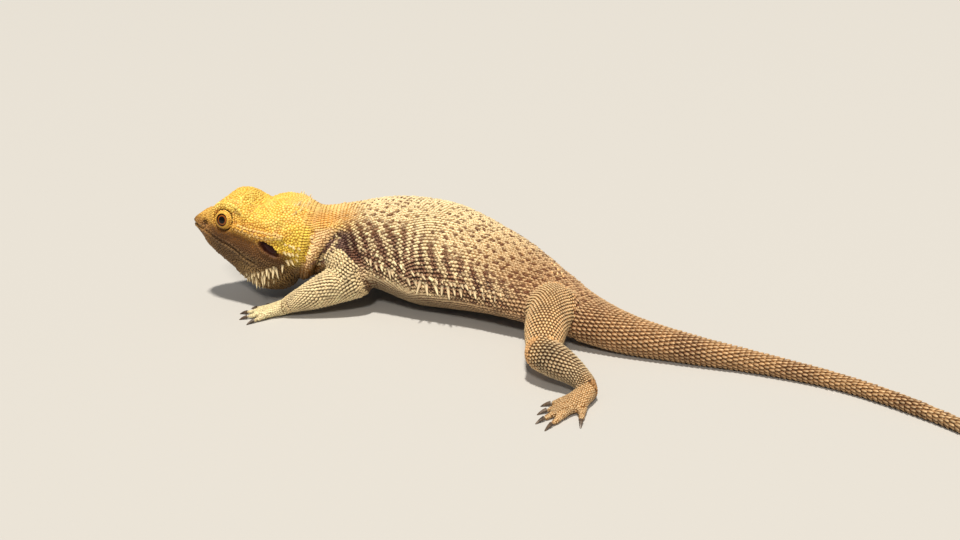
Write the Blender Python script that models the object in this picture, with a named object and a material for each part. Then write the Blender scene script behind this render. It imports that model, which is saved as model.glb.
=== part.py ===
"""A bearded dragon lying at rest with its chest and head raised: a still, life-size model.

The animal faces -X, with its left side towards -Y, and lies on the plane z = 0.
The tables are in centimetres, and CM turns them into metres. Body, limbs and digits
are lofts through named stations. Each node is one closed solid, parted from its
neighbours by thin gaps, and the origin ends up under the middle of the whole box.
"""

import math

import bmesh
import bpy
import numpy as np

CM = 0.01
GAP = 0.03  # cm, left between one solid and the next
MODEL = "bearded_dragon"

# The head is laid out along its own axis, which starts between the jowls.
HEAD_BASE = (-13.45, -4.8, 2.9)
HEAD_YAW = math.radians(21)
HEAD_PITCH = math.radians(15)
# Station: (distance along the head, half width, rise, drop, squareness of the upper half)
HEAD_STATIONS = [
    (4.25, 0.36, 0.02, 0.40, 2.2),  # tip of the snout
    (3.62, 0.84, 0.56, 0.90, 2.4),  # nostrils
    (2.95, 1.20, 1.06, 1.42, 2.6),  # front of the eyes
    (2.48, 1.40, 1.66, 1.70, 2.7),  # brow ridge
    (1.88, 1.63, 1.92, 2.05, 2.7),  # crown
    (1.25, 1.86, 1.54, 2.35, 2.7),  # temples
    (0.70, 2.05, 1.78, 2.50, 2.6),
    (0.00, 2.22, 2.06, 2.45, 2.5),  # jowls and ear openings
]
# The throat is rounder than the flat-topped skull: below the widest line no section is squarer.
LOWER_SQUARENESS = 2.1
# Station: (x, y, underside, back, half width, height of the widest line, squareness)
# The height of the widest line is a share of the whole height.
TRUNK_STATIONS = [
    (-12.7, -4.40, 0.95, 4.70, 2.12, 0.50, 2.3),  # nape
    (-12.2, -4.11, 1.05, 4.40, 2.05, 0.48, 2.2),
    (-11.6, -3.74, 1.15, 4.30, 2.00, 0.45, 2.2),  # neck fold
    (-10.6, -3.15, 0.95, 4.40, 2.40, 0.42, 2.2),  # shoulders
    (-8.8, -2.55, 0.45, 4.66, 2.95, 0.40, 2.1),  # ribs
    (-6.6, -2.15, -0.10, 4.45, 3.20, 0.40, 2.1),  # middle of the trunk
    (-4.0, -2.40, 0.04, 3.55, 2.92, 0.42, 2.1),  # loins
    (-0.9, -3.35, 0.32, 2.42, 2.08, 0.44, 2.1),  # hips
    (1.1, -4.05, 0.22, 1.95, 1.45, 0.45, 2.1),  # root of the tail
    (3.4, -4.50, -0.02, 1.50, 0.92, 0.50, 2.1),
    (6.1, -4.55, -0.03, 1.12, 0.60, 0.50, 2.0),
    (9.0, -4.45, -0.03, 0.80, 0.42, 0.50, 2.0),
    (11.8, -4.70, -0.03, 0.62, 0.33, 0.50, 2.0),
    (14.5, -5.60, -0.03, 0.54, 0.28, 0.50, 2.0),
    (17.5, -7.20, -0.02, 0.42, 0.23, 0.50, 2.0),
    (20.5, -9.30, -0.02, 0.32, 0.17, 0.50, 2.0),
    (23.2, -11.80, -0.01, 0.20, 0.10, 0.50, 2.0),  # tip of the tail
]
# Node: (name, where it starts and ends along the body, rings, points in a ring, colour)
BODY_NODES = [
    ("head", 0.0, 4.75, 13, 28, "ochre"),
    ("neck", 4.75, 6.75, 6, 28, "ochre"),
    ("chest", 6.75, 10.6, 7, 28, "sand"),
    ("abdomen", 10.6, 16.0, 8, 28, "sand"),
    ("pelvis", 16.0, 20.2, 7, 24, "sand"),
    ("tail_1", 20.2, 25.6, 8, 16, "tan"),
    ("tail_2", 25.6, 31.2, 8, 12, "tan"),
    ("tail_3", 31.2, 37.4, 8, 12, "tan"),
    ("tail_4", 37.4, 44.2, 8, 8, "tan"),
]

EYE_RADIUS = 0.46
EYE_ALONG = 2.42  # from the head's base, as in HEAD_STATIONS
EYE_OUT = 1.06  # from the head's middle plane
EYE_HEIGHT = 0.62  # above the head's axis

# Limb station: (x, y, z, half width, half height), from inside the body outwards.
LIMBS = {
    "upper_arm_left": [
        (-11.2, -3.7, 2.60, 0.80, 0.95),
        (-10.4, -4.6, 2.50, 0.88, 0.98),
        (-9.5, -5.15, 2.15, 0.82, 0.86),
        (-9.0, -5.35, 1.80, 0.72, 0.74),
    ],
    "forearm_left": [
        (-8.85, -5.25, 1.60, 0.74, 0.80),
        (-9.7, -5.65, 1.40, 0.86, 0.82),
        (-10.7, -6.30, 0.98, 0.68, 0.66),
        (-11.7, -6.90, 0.58, 0.46, 0.42),
    ],
    "thigh_left": [
        (0.3, -4.5, 1.55, 0.85, 0.95),
        (0.85, -5.9, 1.65, 0.88, 0.92),
        (1.25, -7.2, 1.50, 0.80, 0.84),
        (1.60, -8.1, 1.22, 0.66, 0.66),
    ],
    "shin_left": [
        (1.45, -8.25, 1.15, 0.62, 0.66),
        (2.2, -8.45, 1.05, 0.64, 0.66),
        (3.1, -8.65, 0.78, 0.48, 0.50),
        (3.75, -8.90, 0.52, 0.38, 0.38),
    ],
    "upper_arm_right": [
        (-11.5, -2.9, 2.50, 0.80, 0.95),
        (-11.3, -1.8, 2.35, 0.85, 0.92),
        (-10.9, -0.8, 2.00, 0.80, 0.84),
        (-10.6, -0.2, 1.70, 0.70, 0.72),
    ],
    "forearm_right": [
        (-10.4, -0.15, 1.55, 0.72, 0.76),
        (-11.1, 0.00, 1.30, 0.80, 0.78),
        (-12.1, 0.10, 0.92, 0.64, 0.62),
        (-13.0, 0.05, 0.58, 0.46, 0.42),
    ],
    "thigh_right": [
        (-0.3, -3.2, 1.15, 0.75, 0.80),
        (-1.4, -1.9, 1.20, 0.80, 0.84),
        (-2.5, -0.6, 1.10, 0.76, 0.80),
        (-3.3, 0.35, 0.95, 0.62, 0.62),
    ],
    "shin_right": [
        (-3.5, 0.45, 0.90, 0.58, 0.58),
        (-3.2, 0.60, 0.80, 0.56, 0.56),
        (-2.85, 0.80, 0.64, 0.44, 0.44),
        (-2.55, 1.00, 0.50, 0.38, 0.38),
    ],
}
LIMB_RINGS = 5
LIMB_SIDES = 12
# What each limb segment makes room for, besides the trunk.
LIMB_CUT_BY = {
    "forearm_left": "upper_arm_left",
    "forearm_right": "upper_arm_right",
    "shin_left": "thigh_left",
    "shin_right": "thigh_right",
}

# Foot: (limb it ends, ankle x, y, z, heading in degrees, palm length, palm half width, plan).
FEET = {
    "hand_left": ("forearm_left", (-11.95, -6.95, 0.42), 200, 0.90, 0.50, "hand"),
    "hand_right": ("forearm_right", (-13.3, 0.05, 0.42), 182, 0.90, -0.50, "hand"),
    "foot_left": ("shin_left", (3.90, -9.05, 0.42), 253, 1.10, 0.44, "foot"),
    "foot_right": ("shin_right", (-2.75, 1.15, 0.42), 152, 1.10, -0.44, "foot"),
}
# Digit: (turn from the heading, length), from the inner digit to the outer one.
DIGITS = {
    "hand": [(-46, 0.72), (-24, 0.92), (-3, 1.00), (18, 0.94), (44, 0.74)],
    "foot": [(-42, 0.66), (-24, 0.92), (-10, 1.22), (4, 1.48), (36, 0.92)],
}
DIGIT_ROOT = 0.20  # radius where it leaves the palm
DIGIT_TIP = 0.125
CLAW_LENGTH = {"hand": 0.36, "foot": 0.36}
CLAW_ROOT = 0.085
CLAW_TIP = 0.028
CLAW_SIDES = 8

COLOURS = {
    "ochre": (0.62, 0.36, 0.08),
    "sand": (0.50, 0.40, 0.27),
    "tan": (0.42, 0.31, 0.20),
    "cream": (0.58, 0.50, 0.38),
    "horn": (0.06, 0.045, 0.035),
    "eye": (0.30, 0.13, 0.03),
}
ROUGHNESS = {"eye": 0.05, "horn": 0.35}
SKIN_ROUGHNESS = 0.75

bodies = None
cutters = None


def clear_scene():
    for obj in list(bpy.data.objects):
        bpy.data.objects.remove(obj, do_unlink=True)


def new_collection(name):
    collection = bpy.data.collections.new(name)
    bpy.context.scene.collection.children.link(collection)
    return collection


def material(name):
    found = bpy.data.materials.get(name)
    if found:
        return found
    made = bpy.data.materials.new(name)
    made.use_nodes = True
    shader = made.node_tree.nodes["Principled BSDF"]
    shader.inputs["Base Color"].default_value = (*COLOURS[name], 1)
    shader.inputs["Roughness"].default_value = ROUGHNESS.get(name, SKIN_ROUGHNESS)
    return made


def unit(vector):
    return vector / np.linalg.norm(vector)


def head_axes():
    """Forward, left and up of the head, as unit vectors."""
    forward = np.array([
        -math.cos(HEAD_YAW) * math.cos(HEAD_PITCH),
        -math.sin(HEAD_YAW) * math.cos(HEAD_PITCH),
        math.sin(HEAD_PITCH),
    ])
    left = unit(np.cross((0, 0, 1), forward))
    return forward, left, np.cross(forward, left)


def body_stations():
    """Rows of x, y, z, half width, rise, drop and squareness from snout to tail tip."""
    forward = head_axes()[0]
    rows = []
    for along, width, rise, drop, square in HEAD_STATIONS:
        rows.append([*(np.array(HEAD_BASE) + forward * along), width, rise, drop, square])
    for x, y, low, high, width, waist, square in TRUNK_STATIONS:
        middle = low + (high - low) * waist
        rows.append([x, y, middle, width, high - middle, middle - low, square])
    return np.array(rows)


def spline(rows, places):
    """Smooth values at the places, which are distances along the path of the rows."""
    steps = np.linalg.norm(np.diff(rows[:, :3], axis=0), axis=1)
    knots = np.concatenate([[0], np.cumsum(steps)])
    slopes = np.diff(rows, axis=0) / steps[:, None]
    bends = np.vstack([slopes[:1], np.zeros((len(rows) - 2, rows.shape[1])), slopes[-1:]])
    for i in range(1, len(rows) - 1):
        bends[i] = slopes[i - 1] * steps[i] + slopes[i] * steps[i - 1]
        bends[i] /= steps[i - 1] + steps[i]
    places = np.clip(places, 0, knots[-1])
    left = np.clip(np.searchsorted(knots, places, side="right") - 1, 0, len(rows) - 2)
    span = steps[left][:, None]
    t = (places - knots[left])[:, None] / span
    ease = t * t * (3 - 2 * t)
    lead = t * (1 - t) ** 2 * span
    trail = t * t * (t - 1) * span
    return rows[left] * (1 - ease) + rows[left + 1] * ease + bends[left] * lead + bends[left + 1] * trail


def path_length(rows):
    return np.linalg.norm(np.diff(rows[:, :3], axis=0), axis=1).sum()


def section(row, tangent, sides, grow=0.0):
    """One ring round a station: a superellipse with unlike upper and lower halves."""
    up = unit(np.array((0, 0, 1)) - tangent * tangent[2])
    side = np.cross(tangent, up)
    # Half a step of turn puts a flat side, not a corner, at the bottom of the ring.
    turn = (np.arange(sides) - sides / 4 + 0.5) * 2 * math.pi / sides
    power = np.where(np.sin(turn) > 0, 2 / row[6], 2 / min(row[6], LOWER_SQUARENESS))
    across = np.sign(np.cos(turn)) * np.abs(np.cos(turn)) ** power
    height = np.sign(np.sin(turn)) * np.abs(np.sin(turn)) ** power
    reach = np.where(height > 0, row[4] + grow, row[5] + grow)
    return row[:3] + np.outer(across * (row[3] + grow), side) + np.outer(height * reach, up)


def rings_along(rows, places, sides, grow=0.0):
    """Rings at the places along a path, square to the path at each."""
    nudge = 0.15
    ahead = spline(rows, places + nudge)[:, :3]
    behind = spline(rows, places - nudge)[:, :3]
    values = spline(rows, places)
    return [
        section(row, unit(after - before), sides, grow)
        for row, before, after in zip(values, behind, ahead)
    ]


def loft(name, rings, colour, collection, floor=None):
    """A closed mesh through the rings, with a flat face at each end."""
    rings = [np.array(ring) for ring in rings]
    if floor is not None:
        for ring in rings:
            ring[:, 2] = np.maximum(ring[:, 2], floor)
    shape = bmesh.new()
    loops = [[shape.verts.new(point * CM) for point in ring] for ring in rings]
    sides = len(loops[0])
    for first, second in zip(loops, loops[1:]):
        for i in range(sides):
            k = (i + 1) % sides
            shape.faces.new((first[i], second[i], second[k], first[k]))
    shape.faces.new(loops[0])
    shape.faces.new(reversed(loops[-1]))
    bmesh.ops.recalc_face_normals(shape, faces=shape.faces)
    return finish_mesh(name, shape, colour, collection)


def finish_mesh(name, shape, colour, collection):
    mesh = bpy.data.meshes.new(name)
    shape.to_mesh(mesh)
    shape.free()
    mesh.shade_smooth()
    mesh.set_sharp_from_angle(angle=math.radians(50))
    obj = bpy.data.objects.new(name, mesh)
    collection.objects.link(obj)
    if collection is cutters:
        obj.hide_render = True
        obj.display_type = "WIRE"
    else:
        mesh.materials.append(material(colour))
    return obj


def boolean(obj, operation, other):
    step = obj.modifiers.new(f"{operation.lower()} {other.name}", "BOOLEAN")
    step.operation = operation
    step.solver = "EXACT"
    step.object = other


def inset(ring, inner):
    """The ring moved half a gap along its own normal, towards the inner ring."""
    normal = unit(np.cross(ring[1] - ring[0], ring[len(ring) // 2] - ring[0]))
    return ring + normal * math.copysign(GAP / 2, normal @ (inner - ring).mean(0))


def make_body():
    """The body in lengths, parted by gaps square to its path."""
    rows = body_stations()
    end = path_length(rows)
    for name, start, stop, count, sides, colour in BODY_NODES:
        places = np.linspace(start, min(stop, end), count)
        rings = rings_along(rows, places, sides)
        rings[0] = inset(rings[0], rings[1])
        rings[-1] = inset(rings[-1], rings[-2])
        loft(name, rings, colour, bodies, floor=0.0)


def make_clearance():
    """The trunk grown by one gap, which the limbs are cut back from."""
    rows = body_stations()
    places = np.linspace(4.0, 24.0, 34)
    return loft("trunk_clearance", rings_along(rows, places, 28, GAP), None, cutters)


def limb_rows(stations):
    return np.array([[x, y, z, w, h, h, 2.1] for x, y, z, w, h in stations])


def capsule_rings(rows, sides, grow=0.0):
    """Rings along a limb segment whose two ends close in rounded noses."""
    length = path_length(rows)
    places = np.linspace(0, length, LIMB_RINGS)
    rings = rings_along(rows, places, sides, grow)
    noses = []
    for index in (0, -1):
        ring = rings[index]
        middle = ring.mean(0)
        outward = unit(middle - rings[1 if index == 0 else -2].mean(0))
        reach = rows[index, 3] + grow
        nose = []
        for lift in (35, 68):
            angle = math.radians(lift)
            shrunk = middle + (ring - middle) * math.cos(angle)
            nose.append(shrunk + outward * reach * 0.75 * math.sin(angle))
        noses.append(nose)
    return noses[0][::-1] + rings + noses[1]


def make_limbs(clearance):
    made = {}
    for name, stations in LIMBS.items():
        rows = limb_rows(stations)
        limb = loft(name, capsule_rings(rows, LIMB_SIDES), "cream", bodies)
        boolean(limb, "DIFFERENCE", clearance)
        made[name] = limb
    for name, other in LIMB_CUT_BY.items():
        grown = capsule_rings(limb_rows(LIMBS[other]), LIMB_SIDES, GAP * 1.3)
        boolean(made[name], "DIFFERENCE", loft(f"{other}_room", grown, None, cutters))
    return made


def digit_rows(root, heading, length):
    """A digit that lifts a little at its knuckle and comes down at its tip."""
    forward = np.array([math.cos(heading), math.sin(heading), 0])
    rows = []
    for share, height, radius in (
        (0.00, 0.22, DIGIT_ROOT),
        (0.35, 0.22, DIGIT_ROOT * 0.9),
        (0.70, 0.14, DIGIT_ROOT * 0.78),
        (1.00, 0.10, DIGIT_TIP),
    ):
        centre = np.array(root) + forward * length * share
        rows.append([centre[0], centre[1], height, radius, radius, radius, 2.0])
    return np.array(rows)


def make_claw(name, base, heading, length):
    """A curved claw that starts one gap past its digit and points down to the floor."""
    forward = np.array([math.cos(heading), math.sin(heading), 0])
    rings = []
    for share in (0.0, 0.35, 0.7, 1.0):
        bend = math.radians(6 + 34 * share)
        along = forward * math.cos(bend) - np.array((0, 0, math.sin(bend)))
        centre = base + forward * (length * share)
        centre[2] = base[2] + 0.02 - 0.12 * share**2
        radius = CLAW_ROOT + (CLAW_TIP - CLAW_ROOT) * share
        row = [*centre, radius, radius, radius, 2.0]
        rings.append(section(np.array(row), along, CLAW_SIDES))
    return loft(name, rings, "horn", bodies, floor=0.0)


def make_foot(name, limb, ankle, heading, palm, half_width, plan, floor):
    """A palm with five digits, cut flat on the floor, and its claws."""
    side = math.copysign(1, half_width)
    half_width = abs(half_width)
    heading = math.radians(heading)
    forward = np.array([math.cos(heading), math.sin(heading), 0])
    across = np.array([-forward[1], forward[0], 0]) * side
    ankle = np.array(ankle)
    rows = []
    for share, width, height in ((0.0, 0.8, 1.05), (0.4, 1.0, 0.90), (0.8, 1.1, 0.7), (1.0, 0.95, 0.6)):
        centre = ankle + forward * palm * share
        centre[2] = ankle[2] * (1 - share) + 0.20 * share
        rows.append([*centre, half_width * width, 0.36 * height, 0.36 * height, 2.1])
    rows = np.array(rows)
    body = loft(name, capsule_rings(rows, LIMB_SIDES), "cream", bodies)
    for number, (turn, length) in enumerate(DIGITS[plan], start=1):
        offset = (number - 3) / 2 * (half_width - DIGIT_ROOT * 0.6)
        root = ankle + forward * palm * (0.92 - 0.12 * abs(number - 3)) + across * offset
        angle = heading + math.radians(turn) * side
        digit = digit_rows(root, angle, length)
        rings = rings_along(digit, np.linspace(0, path_length(digit), 4), 8)
        boolean(body, "UNION", loft(f"{name}_digit_{number}", rings, None, cutters))
        tip = digit[-1, :3] + GAP * np.array([math.cos(angle), math.sin(angle), 0])
        make_claw(f"{name}_claw_{number}", tip, angle, CLAW_LENGTH[plan])
    boolean(body, "DIFFERENCE", floor)
    grown = capsule_rings(limb_rows(LIMBS[limb]), LIMB_SIDES, GAP * 1.3)
    boolean(body, "DIFFERENCE", loft(f"{limb}_room", grown, None, cutters))


def make_floor():
    """A block under z = 0, which cuts the feet flat."""
    bpy.ops.mesh.primitive_cube_add(size=1, location=(0, 0, -0.05), scale=(0.6, 0.6, 0.1))
    floor = bpy.context.active_object
    floor.name = "floor"
    for collection in list(floor.users_collection):
        collection.objects.unlink(floor)
    cutters.objects.link(floor)
    floor.hide_render = True
    floor.display_type = "WIRE"
    return floor


def ball(name, centre, radius, colour, collection):
    shape = bmesh.new()
    bmesh.ops.create_uvsphere(shape, u_segments=14, v_segments=9, radius=radius * CM)
    obj = finish_mesh(name, shape, colour, collection)
    obj.location = centre * CM
    return obj


def make_eyes():
    forward, left, up = head_axes()
    head = bpy.data.objects["head"]
    for side, sign in (("left", 1), ("right", -1)):
        centre = np.array(HEAD_BASE) + forward * EYE_ALONG + left * sign * EYE_OUT + up * EYE_HEIGHT
        ball(f"eye_{side}", centre, EYE_RADIUS, "eye", bodies)
        boolean(head, "DIFFERENCE", ball(f"socket_{side}", centre, EYE_RADIUS + GAP * 1.3, None, cutters))


def centre_on_origin():
    """Moves everything so that the origin is under the middle of the box."""
    bpy.context.view_layer.update()
    graph = bpy.context.evaluated_depsgraph_get()
    lows = []
    highs = []
    for obj in bodies.objects:
        seen = obj.evaluated_get(graph)
        corners = np.array([obj.matrix_world @ vertex.co for vertex in seen.data.vertices])
        lows.append(corners.min(0))
        highs.append(corners.max(0))
    middle = (np.min(lows, axis=0) + np.max(highs, axis=0)) / 2
    for obj in list(bodies.objects) + list(cutters.objects):
        obj.location.x -= middle[0]
        obj.location.y -= middle[1]


def main():
    global bodies, cutters
    clear_scene()
    bodies = new_collection(MODEL)
    cutters = new_collection("cutters")
    make_body()
    make_eyes()
    make_limbs(make_clearance())
    floor = make_floor()
    for name, (limb, ankle, heading, palm, half_width, plan) in FEET.items():
        make_foot(name, limb, ankle, heading, palm, half_width, plan, floor)
    centre_on_origin()


main()
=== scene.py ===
"""The looks of the bearded dragon: one skin, scales and spines in solid mesh, eyes and claws."""

import math

import bmesh
import bpy
import numpy as np
from mathutils import Matrix, Vector
from mathutils.bvhtree import BVHTree
from mathutils.kdtree import KDTree


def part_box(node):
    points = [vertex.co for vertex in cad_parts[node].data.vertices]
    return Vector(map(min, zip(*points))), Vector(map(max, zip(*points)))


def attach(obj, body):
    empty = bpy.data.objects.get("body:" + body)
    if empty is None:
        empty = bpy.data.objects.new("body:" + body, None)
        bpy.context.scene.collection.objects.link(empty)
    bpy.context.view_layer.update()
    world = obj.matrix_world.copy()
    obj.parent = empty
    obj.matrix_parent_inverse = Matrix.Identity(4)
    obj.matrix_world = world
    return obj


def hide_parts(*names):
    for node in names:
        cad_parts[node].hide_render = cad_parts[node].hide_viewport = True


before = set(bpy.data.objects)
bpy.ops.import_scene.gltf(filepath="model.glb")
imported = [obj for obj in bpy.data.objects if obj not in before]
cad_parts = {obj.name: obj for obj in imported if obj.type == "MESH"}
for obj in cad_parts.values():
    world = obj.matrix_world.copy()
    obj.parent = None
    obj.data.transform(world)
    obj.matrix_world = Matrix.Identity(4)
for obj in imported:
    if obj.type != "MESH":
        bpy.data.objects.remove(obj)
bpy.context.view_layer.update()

# Lengths are in centimetres, as in the solids' own tables, until a mesh is written.
CM = 0.01
BODY = "root"
RANDOM = np.random.default_rng(11)

# ---------------------------------------------------------------- small tools

def norms(vectors):
    return np.linalg.norm(vectors, axis=-1)


def unit(vectors):
    vectors = np.asarray(vectors, float)
    return vectors / np.maximum(norms(vectors)[..., None], 1e-12)


def dots(vectors, others):
    return (vectors * others).sum(-1)


def columns(*arrays):
    return np.stack(arrays, axis=-1)


def smoothstep(low, high, values):
    t = np.clip((values - low) / (high - low), 0, 1)
    return t * t * (3 - 2 * t)


def bump(distance, radius):
    return np.exp(-((distance / radius) ** 2))


def tree_of(points):
    tree = KDTree(len(points))
    for i, point in enumerate(points):
        tree.insert(point, i)
    tree.balance()
    return tree


def nearest(tree, points):
    """Indices and distances of the tree's points nearest to these."""
    found = [tree.find(point)[1:] for point in points]
    return np.array([hit[0] for hit in found], int), np.array([hit[1] for hit in found])


def read(items, name, width=1, kind=float):
    """An attribute of a mesh's items as an array."""
    values = np.empty(len(items) * width, kind)
    items.foreach_get(name, values)
    return values.reshape(-1, width) if width > 1 else values


# ---------------------------------------------------------------- anatomy
# The same stations as the solids have: see each table's first line for its columns.

HEAD_BASE = (-13.45, -4.8, 2.9)
HEAD_YAW = math.radians(21)
HEAD_PITCH = math.radians(15)
HEAD_STATIONS = [
    (4.25, 0.36, 0.02, 0.40, 2.2),
    (3.62, 0.84, 0.56, 0.90, 2.4),
    (2.95, 1.20, 1.06, 1.42, 2.6),
    (2.48, 1.40, 1.66, 1.70, 2.7),
    (1.88, 1.63, 1.92, 2.05, 2.7),
    (1.25, 1.86, 1.54, 2.35, 2.7),
    (0.70, 2.05, 1.78, 2.50, 2.6),
    (0.00, 2.22, 2.06, 2.45, 2.5),
]
LOWER_SQUARENESS = 2.1
TRUNK_STATIONS = [
    (-12.7, -4.40, 0.95, 4.70, 2.12, 0.50, 2.3),
    (-12.2, -4.11, 1.05, 4.40, 2.05, 0.48, 2.2),
    (-11.6, -3.74, 1.15, 4.30, 2.00, 0.45, 2.2),
    (-10.6, -3.15, 0.95, 4.40, 2.40, 0.42, 2.2),
    (-8.8, -2.55, 0.45, 4.66, 2.95, 0.40, 2.1),
    (-6.6, -2.15, -0.10, 4.45, 3.20, 0.40, 2.1),
    (-4.0, -2.40, 0.04, 3.55, 2.92, 0.42, 2.1),
    (-0.9, -3.35, 0.32, 2.42, 2.08, 0.44, 2.1),
    (1.1, -4.05, 0.22, 1.95, 1.45, 0.45, 2.1),
    (3.4, -4.50, -0.02, 1.50, 0.92, 0.50, 2.1),
    (6.1, -4.55, -0.03, 1.12, 0.60, 0.50, 2.0),
    (9.0, -4.45, -0.03, 0.80, 0.42, 0.50, 2.0),
    (11.8, -4.70, -0.03, 0.62, 0.33, 0.50, 2.0),
    (14.5, -5.60, -0.03, 0.54, 0.28, 0.50, 2.0),
    (17.5, -7.20, -0.02, 0.42, 0.23, 0.50, 2.0),
    (20.5, -9.30, -0.02, 0.32, 0.17, 0.50, 2.0),
    (23.2, -11.80, -0.01, 0.20, 0.10, 0.50, 2.0),
]
LIMBS = {
    # x, y, z, half width, half height, from inside the body outwards
    "upper_arm_left": [
        (-11.2, -3.7, 2.60, 0.80, 0.95),
        (-10.4, -4.6, 2.50, 0.88, 0.98),
        (-9.5, -5.15, 2.15, 0.82, 0.86),
        (-9.0, -5.35, 1.80, 0.72, 0.74),
    ],
    "forearm_left": [
        (-8.85, -5.25, 1.60, 0.74, 0.80),
        (-9.7, -5.65, 1.40, 0.86, 0.82),
        (-10.7, -6.30, 0.98, 0.68, 0.66),
        (-11.7, -6.90, 0.58, 0.46, 0.42),
    ],
    "thigh_left": [
        (0.3, -4.5, 1.55, 0.85, 0.95),
        (0.85, -5.9, 1.65, 0.88, 0.92),
        (1.25, -7.2, 1.50, 0.80, 0.84),
        (1.60, -8.1, 1.22, 0.66, 0.66),
    ],
    "shin_left": [
        (1.45, -8.25, 1.15, 0.62, 0.66),
        (2.2, -8.45, 1.05, 0.64, 0.66),
        (3.1, -8.65, 0.78, 0.48, 0.50),
        (3.75, -8.90, 0.52, 0.38, 0.38),
    ],
    "upper_arm_right": [
        (-11.5, -2.9, 2.50, 0.80, 0.95),
        (-11.3, -1.8, 2.35, 0.85, 0.92),
        (-10.9, -0.8, 2.00, 0.80, 0.84),
        (-10.6, -0.2, 1.70, 0.70, 0.72),
    ],
    "forearm_right": [
        (-10.4, -0.15, 1.55, 0.72, 0.76),
        (-11.1, 0.00, 1.30, 0.80, 0.78),
        (-12.1, 0.10, 0.92, 0.64, 0.62),
        (-13.0, 0.05, 0.58, 0.46, 0.42),
    ],
    "thigh_right": [
        (-0.3, -3.2, 1.15, 0.75, 0.80),
        (-1.4, -1.9, 1.20, 0.80, 0.84),
        (-2.5, -0.6, 1.10, 0.76, 0.80),
        (-3.3, 0.35, 0.95, 0.62, 0.62),
    ],
    "shin_right": [
        (-3.5, 0.45, 0.90, 0.58, 0.58),
        (-3.2, 0.60, 0.80, 0.56, 0.56),
        (-2.85, 0.80, 0.64, 0.44, 0.44),
        (-2.55, 1.00, 0.50, 0.38, 0.38),
    ],
}
FEET = {
    # ankle, heading in degrees, palm length, palm half width, plan
    "hand_left": ((-11.95, -6.95, 0.42), 200, 0.90, 0.50, "hand"),
    "hand_right": ((-13.3, 0.05, 0.42), 182, 0.90, -0.50, "hand"),
    "foot_left": ((3.90, -9.05, 0.42), 253, 1.10, 0.44, "foot"),
    "foot_right": ((-2.75, 1.15, 0.42), 152, 1.10, -0.44, "foot"),
}
DIGITS = {
    # turn from the heading, length
    "hand": [(-46, 0.72), (-24, 0.92), (-3, 1.00), (18, 0.94), (44, 0.74)],
    "foot": [(-42, 0.66), (-24, 0.92), (-10, 1.22), (4, 1.48), (36, 0.92)],
}
DIGIT_ROOT = 0.20
DIGIT_TIP = 0.125

EYE_RADIUS = 0.46
LID_THICKNESS = 0.045
EYE_ALONG = 2.42
EYE_OUT = 1.06
EYE_HEIGHT = 0.62

# Row: (share of the palm, share of its half width, share of its height)
PALM_ROWS = ((0.0, 0.8, 1.05), (0.4, 1.0, 0.90), (0.8, 1.1, 0.7), (1.0, 0.95, 0.6))
PALM_HEIGHT = 0.36
# Row: (share of the digit, height above the floor, radius)
DIGIT_ROWS = ((0.0, 0.22, DIGIT_ROOT), (0.35, 0.22, DIGIT_ROOT * 0.9),
              (0.7, 0.14, DIGIT_ROOT * 0.78), (1.0, 0.10, DIGIT_TIP))


def head_axes():
    """Forward, left and up of the head."""
    forward = np.array([
        -math.cos(HEAD_YAW) * math.cos(HEAD_PITCH),
        -math.sin(HEAD_YAW) * math.cos(HEAD_PITCH),
        math.sin(HEAD_PITCH),
    ])
    left = unit(np.cross((0, 0, 1), forward))
    return forward, left, np.cross(forward, left)


FORWARD, LEFT, UP = head_axes()


def head_local(points):
    """Distance forward, left and up from the head's base."""
    away = np.asarray(points) - HEAD_BASE
    return columns(away @ FORWARD, away @ LEFT, away @ UP)


def head_mirrored(points):
    """The same, with the head's right side folded onto its left."""
    local = head_local(points)
    local[:, 1] = np.abs(local[:, 1])
    return local


def head_world(places):
    return np.array(HEAD_BASE) + np.atleast_2d(places) @ np.stack([FORWARD, LEFT, UP])


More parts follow.
